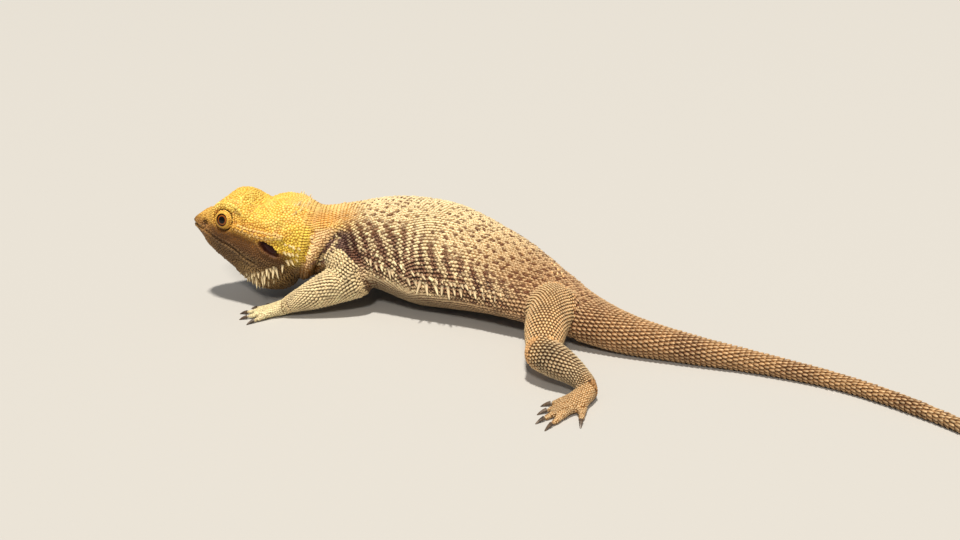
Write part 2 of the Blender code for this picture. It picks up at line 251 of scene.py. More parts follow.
class Tube:
    """A length of flesh: a smooth path with a superellipse section at every place.

    Row: x, y, z, half width, reach up, reach down and squareness of the section.
    """

    def __init__(self, rows):
        self.rows = np.array(rows, float)
        self.steps = norms(np.diff(self.rows[:, :3], axis=0))
        self.knots = np.concatenate([[0], np.cumsum(self.steps)])
        self.length = self.knots[-1]
        slopes = np.diff(self.rows, axis=0) / self.steps[:, None]
        before, after = self.steps[:-1, None], self.steps[1:, None]
        middle = (slopes[:-1] * after + slopes[1:] * before) / (before + after)
        self.bends = np.vstack([slopes[:1], middle, slopes[-1:]])

    def values(self, places):
        """Smooth values of every column at distances along the path."""
        places = np.clip(places, 0, self.length)
        left = np.searchsorted(self.knots, places, side="right") - 1
        left = np.clip(left, 0, len(self.rows) - 2)
        span = self.steps[left][:, None]
        t = (places - self.knots[left])[:, None] / span
        ease = t * t * (3 - 2 * t)
        lead = t * (1 - t) ** 2 * span
        trail = t * t * (t - 1) * span
        return (self.rows[left] * (1 - ease) + self.rows[left + 1] * ease
                + self.bends[left] * lead + self.bends[left + 1] * trail)

    def axes(self, places):
        """Tangent, side and up at each place. The side is the animal's left on the body."""
        nudge = 0.15
        tangent = unit(self.values(places + nudge)[:, :3] - self.values(places - nudge)[:, :3])
        up = unit(np.array((0, 0, 1)) - tangent * tangent[:, 2:])
        return tangent, np.cross(tangent, up), up

    def surface(self, places, angles, depth=0.0):
        """Points, outward normals and tangents at angles (radians, a quarter turn is the top)."""
        row = self.values(places)
        tangent, side, up = self.axes(places)
        cos, sin = np.cos(angles), np.sin(angles)
        square = np.where(sin > 0, row[:, 6], np.minimum(row[:, 6], LOWER_SQUARENESS))
        across = np.sign(cos) * np.abs(cos) ** (2 / square)
        height = np.sign(sin) * np.abs(sin) ** (2 / square)
        width = row[:, 3] - depth
        reach = np.where(height > 0, row[:, 4], row[:, 5]) - depth
        points = row[:, :3] + side * (across * width)[:, None] + up * (height * reach)[:, None]
        slope_side = np.sign(cos) * np.abs(across) ** (square - 1) / width
        slope_up = np.sign(sin) * np.abs(height) ** (square - 1) / reach
        normal = unit(side * slope_side[:, None] + up * slope_up[:, None])
        return points, normal, tangent

    def rings(self, places, sides, depth):
        """Rings of points, with a flat side at the bottom, for a loft."""
        turn = (np.arange(sides) - sides / 4 + 0.5) * 2 * math.pi / sides
        places = np.asarray(places, float)
        depth = np.repeat(np.broadcast_to(depth, places.shape), sides)
        points = self.surface(np.repeat(places, sides), np.tile(turn, len(places)), depth)[0]
        return points.reshape(len(places), sides, 3)


def body_tube():
    rows = []
    for along, width, rise, drop, square in HEAD_STATIONS:
        rows.append([*(np.array(HEAD_BASE) + FORWARD * along), width, rise, drop, square])
    for x, y, low, high, width, waist, square in TRUNK_STATIONS:
        middle = low + (high - low) * waist
        rows.append([x, y, middle, width, high - middle, middle - low, square])
    return Tube(rows)


def foot_tubes(ankle, heading, palm, half_width, plan):
    """The palm and the five digits of a foot."""
    side = math.copysign(1, half_width)
    half_width = abs(half_width)
    heading = math.radians(heading)
    forward = np.array([math.cos(heading), math.sin(heading), 0])
    across = np.array([-forward[1], forward[0], 0]) * side
    ankle = np.array(ankle)
    rows = []
    for share, width, height in PALM_ROWS:
        centre = ankle + forward * palm * share
        centre[2] = ankle[2] * (1 - share) + 0.20 * share
        rows.append([*centre, half_width * width, PALM_HEIGHT * height, PALM_HEIGHT * height, 2.1])
    tubes = [Tube(rows)]
    for number, (turn, length) in enumerate(DIGITS[plan], start=1):
        offset = (number - 3) / 2 * (half_width - DIGIT_ROOT * 0.6)
        root = ankle + forward * palm * (0.92 - 0.12 * abs(number - 3)) + across * offset
        angle = heading + math.radians(turn) * side
        ahead = np.array([math.cos(angle), math.sin(angle), 0])
        rows = []
        for share, height, radius in DIGIT_ROWS:
            centre = root + ahead * length * share
            rows.append([*centre[:2], height, radius, radius, radius, 2.0])
        tubes.append(Tube(rows))
    return tubes


BODY_TUBE = body_tube()
LIMB_TUBES = {name: Tube([[x, y, z, w, h, h, 2.1] for x, y, z, w, h in rows]) for name, rows in LIMBS.items()}
FOOT_TUBES = {name: foot_tubes(*foot) for name, foot in FEET.items()}


def box_middle(node):
    low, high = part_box(node)
    return (np.array(low) + np.array(high)) / 2 / CM


# From these tables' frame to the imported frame, whose origin is under the whole box.
SHIFT = box_middle("eye_left") - head_world((EYE_ALONG, EYE_OUT, EYE_HEIGHT))[0]


def placed(points):
    """Points in metres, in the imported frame."""
    return (np.asarray(points) + SHIFT) * CM


# ---------------------------------------------------------------- skin

SKIN_VOXEL = 0.098
# The coat's depth at distances from the snout: how far the skin lies inside the solids' outline.
COAT_PLACES = (0, 0.4, 4.75, 10.6, 16.0, 20.2, 44)
COAT_DEPTHS = (0.02, 0.04, 0.06, 0.10, 0.10, 0.07, 0.02)
LIMB_DEPTH, PALM_DEPTH, DIGIT_DEPTH = 0.06, 0.03, 0.02
# Muscles that carry the limbs into the trunk: (centre, radii)
MUSCLES = [
    ((-10.35, -4.35, 2.55), (1.35, 1.0, 1.15)),
    ((-11.1, -2.2, 2.5), (1.3, 1.0, 1.1)),
    ((0.55, -4.9, 1.45), (1.15, 1.1, 0.95)),
    ((-0.9, -2.4, 1.25), (1.2, 1.0, 0.85)),
]


def closed_loft(rings):
    """Vertices and faces of a closed loft."""
    rings = np.array(rings)
    count, sides = rings.shape[:2]
    index = np.arange(count * sides).reshape(count, sides)
    after = np.roll(index, -1, axis=1)
    quads = np.stack([index[:-1], index[1:], after[1:], after[:-1]], axis=-1).reshape(-1, 4)
    return rings.reshape(-1, 3), [*map(tuple, quads), tuple(index[0]), tuple(index[-1][::-1])]


def capsule(tube, depth, count=14, sides=28):
    """A limb segment with rounded ends."""
    rings = list(tube.rings(np.linspace(0, tube.length, count), sides, depth))
    noses = []
    for index, inner in ((0, 1), (-1, -2)):
        middle = rings[index].mean(0)
        outward = unit(middle - rings[inner].mean(0)) * (tube.rows[index, 3] - depth) * 0.75
        noses.append([
            middle + (rings[index] - middle) * math.cos(lift) + outward * math.sin(lift)
            for lift in map(math.radians, (15, 32, 50, 68, 82))
        ])
    return closed_loft(noses[0][::-1] + rings + noses[1])


def ellipsoid(centre, radii):
    turn = np.linspace(0, 2 * math.pi, 24, endpoint=False)
    rings = []
    for angle in np.linspace(-80, 80, 13) * math.pi / 180:
        level = np.full_like(turn, math.sin(angle))
        ring = columns(math.cos(angle) * np.cos(turn), math.cos(angle) * np.sin(turn), level)
        rings.append(np.array(centre) + ring * radii)
    return closed_loft(rings)


def clay():
    """All flesh as overlapping closed lumps, before they are fused."""
    places = np.concatenate([np.linspace(0, 5, 60), np.linspace(5.1, BODY_TUBE.length, 240)])
    depth = np.interp(places, COAT_PLACES, COAT_DEPTHS)
    lumps = [closed_loft(BODY_TUBE.rings(places, 72, depth))]
    lumps += [capsule(tube, LIMB_DEPTH) for tube in LIMB_TUBES.values()]
    for palm, *digits in FOOT_TUBES.values():
        lumps.append(capsule(palm, PALM_DEPTH))
        lumps += [capsule(digit, DIGIT_DEPTH, 8, 16) for digit in digits]
    return lumps + [ellipsoid(*muscle) for muscle in MUSCLES]


def show(name, data, material=None):
    """A new object in the scene."""
    if material:
        data.materials.append(material)
    obj = bpy.data.objects.new(name, data)
    bpy.context.scene.collection.objects.link(obj)
    return obj


def fused(lumps):
    """One mesh from the lumps, remeshed as a single closed skin."""
    shape = bmesh.new()
    for points, faces in lumps:
        corners = [shape.verts.new(point) for point in points]
        for face in faces:
            shape.faces.new([corners[i] for i in face])
    bmesh.ops.recalc_face_normals(shape, faces=shape.faces)
    mesh = bpy.data.meshes.new("lumps")
    shape.to_mesh(mesh)
    shape.free()
    obj = show("lumps", mesh)
    remesh = obj.modifiers.new("fuse", "REMESH")
    remesh.mode = "VOXEL"
    remesh.voxel_size = SKIN_VOXEL
    bpy.context.view_layer.update()
    seen = obj.evaluated_get(bpy.context.evaluated_depsgraph_get())
    skin = bpy.data.meshes.new_from_object(seen)
    bpy.data.objects.remove(obj, do_unlink=True)
    return skin


def mesh_points(mesh):
    return read(mesh.vertices, "co", 3)


def set_points(mesh, points):
    mesh.vertices.foreach_set("co", np.asarray(points, np.float32).ravel())
    mesh.update()


def summed(rows, owner, count):
    """Sums of the rows that have the same owner."""
    return columns(*(np.bincount(owner, weights=rows[:, axis], minlength=count) for axis in range(3)))


def relax(mesh, rounds, weight=0.5):
    """Draws the points towards the mean of their neighbours. The weight may differ by point."""
    points = mesh_points(mesh)
    edges = read(mesh.edges, "vertices", 2, np.int64)
    count = len(points)
    degree = np.maximum(np.bincount(edges.ravel(), minlength=count)[:, None], 1)
    weight = np.broadcast_to(np.asarray(weight, float).reshape(-1, 1), (count, 1))
    ends, others = np.concatenate([edges, edges[:, ::-1]]).T
    for _ in range(rounds):
        points = points + (summed(points[others], ends, count) / degree - points) * weight
    set_points(mesh, points)
    return points


def head_share(points):
    """1 on the head, falling to 0 behind it."""
    local = head_local(points)
    return smoothstep(-1.9, -1.3, local[:, 0]) * (np.abs(local[:, 1]) < 3) * (points[:, 0] < -10)


def refine(mesh, chosen):
    """Splits the faces whose points are all chosen into four."""
    shape = bmesh.new()
    shape.from_mesh(mesh)
    shape.verts.ensure_lookup_table()
    faces = [face for face in shape.faces if all(chosen[v.index] for v in face.verts)]
    edges = list({edge for face in faces for edge in face.edges})
    bmesh.ops.subdivide_edges(shape, edges=edges, cuts=1, use_grid_fill=True)
    bmesh.ops.triangulate(shape, faces=[face for face in shape.faces if len(face.verts) > 4])
    shape.to_mesh(mesh)
    shape.free()


# Landmarks on the head, as distances forward, left and up from its base.
NOSTRIL = (3.52, 0.88, 0.08)
EAR = (0.00, 2.10, 0.14)
EAR_LONG = unit((1.0, -0.08, 0.42))
EAR_HALF = (0.53, 0.22)
EAR_DEPTH = 0.26
EAR_REACH = 0.9
MOUTH = [
    (4.27, 0.00, -0.24), (4.10, 0.38, -0.22), (3.41, 0.97, -0.19), (2.63, 1.31, -0.34),
    (1.94, 1.58, -0.43), (1.01, 1.88, -0.69), (0.46, 2.07, -0.70),
]
BROW = [(3.20, 0.74, 0.84), (2.72, 0.92, 1.24), (2.14, 1.20, 1.46), (1.75, 1.38, 1.36), (1.48, 1.47, 1.18)]
CANTHUS = [(3.20, 0.66, 0.84), (3.55, 0.60, 0.54), (3.90, 0.44, 0.30)]
TEMPORAL_RIDGE = [(1.95, 1.58, 0.50), (1.20, 1.84, 0.52), (0.40, 2.02, 0.60), (-0.40, 2.10, 0.74)]
EAR_RIM = [(0.85, 2.02, -0.36), (0.10, 2.21, -0.50), (-0.55, 2.20, -0.42)]
JAW_EDGE = [(3.20, 0.80, -0.75), (2.20, 1.25, -1.15), (1.20, 1.65, -1.45), (0.30, 1.95, -1.35)]
# Folds of the neck, as distances from the snout and degrees round the section.
NECK_EDGE_LINE = [(5.62, 345), (5.60, 357), (5.65, 368), (5.75, 380), (5.80, 393)]
NECK_FOLD_LINE = [(5.60, 299), (5.75, 330), (5.89, 353), (6.09, 369), (6.34, 383), (6.63, 395), (6.98, 404)]
NECK_PIT_LINE = [(5.95, 330), (6.02, 345), (6.24, 360), (6.50, 370), (6.68, 381), (6.88, 390)]
NECK_CREASES = [
    # line of (place, degrees), radius, height
    (NECK_EDGE_LINE, 0.16, -0.10),
    (NECK_FOLD_LINE, 0.24, 0.20),
    (NECK_PIT_LINE, 0.20, -0.26),
]
LID_OPENING = (0.27, 0.29)
LID_CREASE = 0.475  # its distance from the gaze
HEAD_MOUNDS = [
    # centre, radius, height
    ((2.55, 0.42, 1.60), 0.50, 0.14),  # dome over the eye
    ((2.25, 0.00, 1.85), 0.34, -0.10),  # hollow between the domes
    ((1.25, 0.00, 1.55), 0.45, -0.05),  # dip behind them
    ((1.00, 1.60, 1.00), 0.60, 0.13),  # temple
    ((-0.35, 0.90, 1.88), 0.50, 0.14),  # back of the skull
    ((0.55, 0.80, 1.85), 0.42, 0.11),
    ((1.72, 1.55, 1.10), 0.15, -0.09),  # pits behind the eye and behind the temple
    ((-0.28, 1.87, 1.30), 0.20, -0.13),
    ((3.12, 0.98, 0.45), 0.26, -0.10),  # hollow before the eye
    ((3.90, 0.25, 0.20), 0.28, 0.05),  # tip of the snout
    ((0.60, 1.98, -0.20), 0.40, 0.07),  # cheek
    ((0.35, 1.85, -1.05), 0.60, 0.10),  # jowl
    ((1.60, 0.00, -1.75), 0.75, -0.16),  # throat between the jaws
]
HEAD_RIDGES = [
    # line, radius, height
    (BROW, 0.22, 0.17),
    (CANTHUS, 0.14, 0.07),
    (TEMPORAL_RIDGE, 0.17, 0.11),
    (EAR_RIM, 0.12, 0.06),
    (JAW_EDGE, 0.28, 0.08),
]


def resampled(points, count):
    """Points evenly spaced along a smooth line through a few."""
    tube = Tube(np.hstack([points, np.ones((len(points), 4))]))
    return tube.values(np.linspace(0, tube.length, count))[:, :3]


def distance_to(places, line, count=60):
    """Distance from each place to a line, and the height above its nearest point."""
    best = np.full(len(places), np.inf)
    above = np.zeros(len(places))
    for point in resampled(line, count):
        gap = norms(places - point)
        closer = gap < best
        best = np.where(closer, gap, best)
        above = np.where(closer, places[:, 2] - point[2], above)
    return best, above


def eye_centre(side):
    return head_world((EYE_ALONG, EYE_OUT * side, EYE_HEIGHT))[0]


def eye_axes(side):
    """Outward, forward and up at an eye."""
    outward = unit(LEFT * side * 0.95 + FORWARD * 0.26 + UP * 0.16)
    ahead = unit(FORWARD - outward * (FORWARD @ outward))
    return outward, ahead, np.cross(outward, ahead) * side


def eye_place(points, side):
    """Height along the gaze, distance from its axis, and share of the lids' opening."""
    outward, ahead, over = eye_axes(side)
    away = points - eye_centre(side)
    x, y = away @ ahead, away @ over
    return away @ outward, np.hypot(x, y), np.hypot(x / LID_OPENING[0], y / LID_OPENING[1])


def ear_place(mirrored):
    """Share of the ear opening's size at each place, and whether it is near."""
    away = mirrored - EAR
    along = away @ EAR_LONG
    across = np.sqrt(np.maximum((away**2).sum(1) - along**2 - away[:, 1] ** 2 * 0.7, 0))
    return np.hypot(along / EAR_HALF[0], across / EAR_HALF[1]), norms(away) < EAR_REACH


def fold_neck(points, normals):
    """A fold of loose skin before each shoulder, and the hollow behind it."""
    near = np.flatnonzero((points[:, 0] < -8.6) & (points[:, 2] > 0.4))
    for line, radius, height in NECK_CREASES:
        for side in (1, -1):
            places, degrees = np.array(line, float).T
            degrees = degrees if side > 0 else 180 - degrees
            trace = BODY_TUBE.surface(places, np.radians(degrees), 0.08)[0]
            reach = distance_to(points[near], trace)[0]
            points[near] += normals[near] * (height * bump(reach, radius))[:, None]
    return points


def sculpt_head(points, normals):
    """Brows, temples, lids, nostrils, ears, mouth and folds, pressed into the fused skin."""
    local = head_mirrored(points)
    push = np.zeros(len(points))
    for centre, radius, height in HEAD_MOUNDS:
        push += height * bump(norms(local - centre), radius)
    for line, radius, height in HEAD_RIDGES:
        push += height * bump(distance_to(local, line)[0], radius)
    ridge, above = distance_to(local, TEMPORAL_RIDGE)
    push -= 0.08 * bump(ridge, 0.42) * (above < 0)
    mouth = distance_to(local, MOUTH)[0]
    lips = smoothstep(-0.2, 0.2, local[:, 0])
    push += lips * (0.045 * bump(mouth, 0.20) - 0.16 * bump(mouth, 0.075))
    nostril = norms(local - NOSTRIL)
    push += 0.11 * bump(nostril, 0.32) - 0.44 * bump(nostril, 0.165)
    ear, near_ear = ear_place(local)
    push += near_ear * (0.06 * bump(ear - 1.25, 0.25) - EAR_DEPTH * (1 - smoothstep(0.72, 1.08, ear)))
    points = points + normals * (push * head_share(points))[:, None]
    for side in (1, -1):
        points = sculpt_eye(points, side)
    return points


def sculpt_eye(points, side):
    """Lids drawn over the eyeball, open at its middle, on a socket that fills the hollows round it."""
    height, radius, opening = eye_place(points, side)
    near = (height > -0.45) & (radius < 1.15)
    lid = np.sqrt(np.maximum((EYE_RADIUS + LID_THICKNESS) ** 2 - radius**2, 0.0))
    rim = 0.020 * bump(opening - 1.12, 0.10)
    folds = -0.022 * bump(radius - 0.385, 0.022) - 0.040 * bump(radius - 0.490, 0.060)
    orbit = 0.02 * bump(radius - 0.66, 0.12)
    socket = 0.32 - 0.42 * (radius - 0.42)
    fuller = np.maximum(height, socket) + 0.04 * bump(height - socket, 0.06)
    fuller = fuller * smoothstep(1.15, 0.72, radius) + height * smoothstep(0.72, 1.15, radius)
    blend = smoothstep(0.40, 0.58, radius)
    target = (lid + rim) * (1 - blend) + fuller * blend + folds + orbit
    inside = smoothstep(1.0, 0.82, opening)
    target = target * (1 - inside) + 0.05 * inside
    return points + eye_axes(side)[0] * (np.where(near, target - height, 0))[:, None]


def make_skin():
    """The fused skin, as a mesh in centimetres in the tables' frame."""
    mesh = fused(clay())
    points = relax(mesh, 6)
    refine(mesh, head_share(points) > 0)
    on_head = head_share(mesh_points(mesh)) > 0
    points = relax(mesh, 4, 0.5 * on_head)
    around_eye = np.zeros(len(points), bool)
    for side in (1, -1):
        height, radius, _ = eye_place(points, side)
        around_eye |= (radius < 0.66) & (height > -0.2)
    refine(mesh, around_eye & on_head)
    points = relax(mesh, 2, 0.4)
    for shaped in (sculpt_head, fold_neck):
        points = shaped(points, read(mesh.vertex_normals, "vector", 3))
        set_points(mesh, points)
    points[:, 2] = np.maximum(points[:, 2], 0.0)
    set_points(mesh, points)
    return mesh


# ---------------------------------------------------------------- where things are on the body

def side_of(angles):
    """Degrees from the top of a section: 0 on the back, 90 on the flank, 180 on the belly."""
    return np.abs((np.degrees(angles) - 90 + 180) % 360 - 180)


class Finder:
    """Distance along a tube and angle round it, for points near its surface."""

    def __init__(self, tube, step=0.12, turns=72):
        places = np.arange(0, tube.length + step, step)
        self.tube = tube
        self.places = np.repeat(places, turns)
        self.angles = np.tile(np.arange(turns) * 2 * math.pi / turns, len(places))
        self.points = tube.surface(self.places, self.angles)[0]
        self.tree = tree_of(self.points)

    def find(self, points):
        """Places, angles and distances of the nearest spots on the tube."""
        index, gap = nearest(self.tree, points)
        places, angles = self.places[index], self.angles[index]
        tangent, side, up = self.tube.axes(places)
        row = self.tube.values(places)
        away = points - self.points[index]
        round_way = -side * np.sin(angles)[:, None] + up * np.cos(angles)[:, None]
        radius = (row[:, 3] + row[:, 4]) / 2
        return places + dots(away, tangent), angles + dots(away, round_way) / radius, gap


FINDER = Finder(BODY_TUBE)


class Surface:
    """The skin, for setting scales on it. Roots of the scales set so far are in taken."""

    def __init__(self, mesh):
        self.taken = []
        self.points = mesh_points(mesh)
        loops = read(mesh.loops, "vertex_index", 1, np.int64)
        starts = read(mesh.polygons, "loop_start", 1, np.int64)
        totals = read(mesh.polygons, "loop_total", 1, np.int64)
        faces = [loops[s:s + n].tolist() for s, n in zip(starts, totals)]
        owner = np.repeat(np.arange(len(starts)), totals)
        normals = read(mesh.vertex_normals, "vector", 3)
        self.normals = unit(summed(normals[loops], owner, len(starts)))
        self.tree = BVHTree.FromPolygons(self.points.tolist(), faces)
        mesh.calc_loop_triangles()
        self.triangles = read(mesh.loop_triangles, "vertices", 3, np.int64)

    def settle(self, points, wanted, depth, height, facing, shift):
        """Points dropped on the skin, and which of them are neither buried, nor aloft, nor askew."""
        spots, normals, outside = self.drop(points)
        fits = (outside > -depth) & (outside < height) & (dots(normals, wanted) > facing)
        return spots, normals, fits & (norms(spots - points) < shift)

    def drop(self, points):
        """Nearest points on the skin, their normals, and how far outside it the points were."""
        hits = [self.tree.find_nearest(point) for point in points]
        spots = np.array([hit[0] for hit in hits]).reshape(-1, 3)
        normals = self.normals[[hit[2] for hit in hits]]
        return spots, normals, dots(points - spots, normals)

    def scatter(self, count, keep):
        """Random points on the triangles whose middles are kept."""
        corners = self.points[self.triangles]
        first, second, third = corners.transpose(1, 0, 2)
        area = norms(np.cross(second - first, third - first)) * keep(corners.mean(1))
        chosen = RANDOM.choice(len(area), size=count, p=area / area.sum())
        u, v = RANDOM.random((2, count))
        over = u + v > 1
        u[over], v[over] = 1 - u[over], 1 - v[over]
        first, second, third = first[chosen], second[chosen], third[chosen]
        return first + (second - first) * u[:, None] + (third - first) * v[:, None]


NEIGHBOURS = [(i, j, k) for i in (-1, 0, 1) for j in (-1, 0, 1) for k in (-1, 0, 1)]


def thinned(points, radii, taken=(), taken_radii=()):
    """Indices of points kept so that none is nearer to another than their radii allow."""
    cell = 2 * max(np.max(radii), 1e-3, *taken_radii)
    grid = {}

    def cell_of(point):
        return tuple(np.floor(point / cell).astype(int))

    def blocked(x, y, z, radius, spot):
        for step in NEIGHBOURS:
            for a, b, c, other in grid.get((spot[0] + step[0], spot[1] + step[1], spot[2] + step[2]), ()):
                if (a - x) ** 2 + (b - y) ** 2 + (c - z) ** 2 < (radius + other) ** 2:
                    return True
        return False

    for point, radius in zip(taken, taken_radii):
        grid.setdefault(cell_of(point), []).append((*point, radius))
    kept = []
    for i, (point, radius) in enumerate(zip(points, radii)):
        spot = cell_of(point)
        if not blocked(*point, radius, spot):
            grid.setdefault(spot, []).append((*point, radius))
            kept.append(i)
    return np.array(kept, int)


SPREAD_ROUNDS, SPREAD_NEIGHBOURS = 6, 7
SPREAD_REACH = 1.12  # share of two points' radii within which they push each other
SPREAD_PUSH = 0.28


def spread_out(surface, points, radius_of):
    """Points pushed apart until they are evenly packed on the skin."""
    for _ in range(SPREAD_ROUNDS):
        radii = radius_of(points)
        tree = tree_of(points)
        moves = np.zeros_like(points)
        for i, point in enumerate(points):
            for other, j, gap in tree.find_n(point, SPREAD_NEIGHBOURS):
                reach = (radii[i] + radii[j]) * SPREAD_REACH
                if 0 < gap < reach:
                    moves[i] += (point - other) / gap * (reach - gap) * SPREAD_PUSH
        points = surface.drop(points + moves)[0]
    return points


RING_STEPS = 240


def lattice(tube, start, end, row_pitch, arc_pitch, lowest=0.0, highest=180.0):
    """Places and angles in offset rows round a tube, the same on both sides.

    The pitches are functions of the place. The limits are in degrees from the top.
    """
    fine = np.linspace(start, end, 400)
    density = np.concatenate([[0], np.cumsum(np.diff(fine) / row_pitch((fine[1:] + fine[:-1]) / 2))])
    degrees = np.linspace(0, 180, RING_STEPS + 1)
    spots = []
    for number, place in enumerate(np.interp(np.arange(0.5, density[-1]), density, fine)):
        ring = tube.surface(np.full(len(degrees), place), np.radians(90 - degrees))[0]
        pitch = arc_pitch(np.array([place]))
        count = np.concatenate([[0], np.cumsum(norms(np.diff(ring, axis=0)) / pitch)])
        sides = np.interp(np.arange(0.5 * (number % 2), count[-1], 1.0), count, degrees)
        sides = sides[(sides >= lowest) & (sides <= highest)]
        for mine in (sides, -sides[sides > 0.01]):
            spots.append(np.array([np.full(len(mine), place), np.radians(90 - mine)]))
    return np.concatenate(spots, axis=1)


def pitch(base, *steps):
    """A function of the place: a base and smooth steps of (amount, from, to)."""
    def value(places):
        total = np.full(len(places), base)
        for amount, low, high in steps:
            total = total + amount * smoothstep(low, high, places)
        return total
    return value


# ---------------------------------------------------------------- colours

# Linear red, green and blue, named for where they are seen.
CROWN = (0.90, 0.58, 0.08)
# A paler crown yellow: random pale mottle on the crown, and a painted highlight on the scale tips of the
# head's top.
CROWN_LIGHT = (1.00, 0.80, 0.20)
TEMPLE = (0.86, 0.42, 0.045)
SNOUT = (0.36, 0.17, 0.04)
SNOUT_TIP = (0.16, 0.08, 0.03)
# The cheek's own orange-brown, darkened by painted shade from the temporal ridge that overhangs it.
SHADED_CHEEK = (0.120, 0.043, 0.004)
# Painted shade: the lower jaw's olive-tan darkened as lying in the head's shadow.
JAW_IN_SHADE = (0.17, 0.085, 0.022)
BEARD = (0.34, 0.205, 0.075)
THROAT = (0.27, 0.15, 0.055)
NECK_SIDE = (0.98, 0.62, 0.13)
NECK_FOLD = (1.00, 0.66, 0.31)
NAPE = (0.92, 0.62, 0.20)
BACK = (0.98, 0.80, 0.47)
FLANK = (1.00, 0.74, 0.42)
YELLOW = (1.00, 0.69, 0.06)
ORANGE = (0.74, 0.34, 0.07)
SNOUT_TOP = (0.70, 0.38, 0.06)
RUST = (0.56, 0.19, 0.02)
FOLD_GAP = (0.40, 0.20, 0.07)
RUSSET_TIP = (0.82, 0.52, 0.26)
# Painted shade: the dark purple-brown of the hollow behind the neck fold.
HOLLOW_SHADE = (0.17, 0.085, 0.075)
# Painted shade: dark brown for the shadow dots beside the back's raised scales and for the head's pits.
PAINTED_SHADE_BROWN = (0.13, 0.036, 0.010)
GAP_TAN = (0.42, 0.25, 0.10)
REAR = (0.43, 0.205, 0.085)
# Painted shade: the belly and the tail's underside darkened as if shaded; the belly's own colour is a paler
# cream-grey.
BELLY_IN_SHADE = (0.18, 0.105, 0.05)
TAIL_ROOT = (0.43, 0.225, 0.095)
TAIL_MIDDLE = (0.44, 0.235, 0.095)
TAIL_END = (0.60, 0.40, 0.19)
CREAM = (1.00, 0.85, 0.52)
PALE = (0.98, 0.80, 0.48)
GAP_BROWN = (0.10, 0.035, 0.010)
GAP_PURPLE = (0.050, 0.018, 0.014)
GAP_ORANGE = (0.46, 0.18, 0.02)
# Painted shade: near black for gaps under the head, the nostrils, the mouth groove and the lid creases.
SHADE_DARK = (0.035, 0.013, 0.003)
GAP_GOLD = (0.52, 0.23, 0.025)
# Painted shade: near black inside the ear openings and between the lids.
RECESS_SHADE = (0.055, 0.010, 0.006)
ARM = (0.92, 0.70, 0.38)
HAND = (0.98, 0.82, 0.46)
THIGH = (0.96, 0.54, 0.22)
SHIN = (0.46, 0.29, 0.15)
FOOT = (0.58, 0.30, 0.11)
LID_GOLD = (0.78, 0.46, 0.06)


HEAD_PIT_SHADE = [
    # painted shade in the pits behind the eye and behind the temple, and under the temporal ridge's rear end:
    # line, width, share
    (((1.96, 1.40, 1.24), (1.52, 1.46, 1.22)), 0.075, 0.85),
    (((-0.29, 1.90, 1.30), (-0.33, 1.92, 1.20)), 0.11, 0.9),
    (((-0.45, 2.00, 0.70), (-0.50, 2.02, 0.60)), 0.07, 0.5),
]


def mix(under, over, share):
    """Blend towards a colour by a share between 0 and 1 for each place."""
    share = np.clip(np.asarray(share, float), 0, 1)[..., None]
    return np.asarray(under, float) * (1 - share) + np.asarray(over, float) * share


def painted(colour, *layers):
    """A colour with others laid over it in turn, each as (colour, share)."""
    for over, share in layers:
        colour = mix(colour, over, share)
    return colour


def spotty(points, size, seed):
    """Smooth noise between -1 and 1 with blotches of about the size given."""
    x, y, z = (np.asarray(points) / size + seed).T
    wave = (np.sin(x * 2.1 + 1.3 * np.sin(y * 1.7 + seed)) + np.sin(y * 2.3 + 1.1 * np.sin(z * 1.9 + 2.0))
            + np.sin(z * 2.7 + 1.2 * np.sin(x * 1.3 + 4.0)) + np.sin((x + y - z) * 3.1 + seed * 2))
    return wave / 4


def head_crest(points, local, places, side, speck):
    """Crest colours of the head, by distances forward (a), aside (b) and up (c)."""
    a, b, c = local.T
    rusty = smoothstep(0.28, 0.70, spotty(points, 0.17, 11.0)) * smoothstep(0.4, 0.8, c)
    # Painted shade darkens the head's pits.
    marks = [
        (PAINTED_SHADE_BROWN, bump(distance_to(local, line, 6)[0], width) * share) for line, width, share in HEAD_PIT_SHADE
    ]
    return painted(
        CROWN,
        (CROWN_LIGHT, 0.45 * smoothstep(-0.1, 0.6, speck)),
        (TEMPLE, smoothstep(1.25, 0.9, c) * smoothstep(0.9, 1.3, b) * 0.8),
        # Cheek, partly its own brown and partly painted shade.
        (SHADED_CHEEK, smoothstep(0.55, 0.1, c) * smoothstep(0.4, 1.2, b + 0.3)),
        # Painted shade on the lower head.
        (JAW_IN_SHADE, smoothstep(-0.25, -0.6, c)),
        (SNOUT_TOP, smoothstep(2.9, 3.4, a) * smoothstep(0.05, 0.25, c) * 0.8),
        (SNOUT, smoothstep(2.75, 3.45, a) * smoothstep(0.30, 0.05, c) * 0.85),
        (SNOUT_TIP, smoothstep(4.0, 4.25, a) * 0.7),
        (RUST, rusty * (0.75 - 0.35 * smoothstep(1.3, 1.8, c))),
        (BEARD, smoothstep(2.0, 0.9, a) * smoothstep(-0.7, -1.2, c)),
        (THROAT, smoothstep(120, 160, side) * (places < 9)),
        *marks,
    )


DARKENED = (0.24, 0.12, 0.11)  # what is left of each channel in the dark marks
SHADOW_DOT_SHARES = np.array((0.95, 0.90, 0.85))  # of a dark dot in crests, gaps and tips


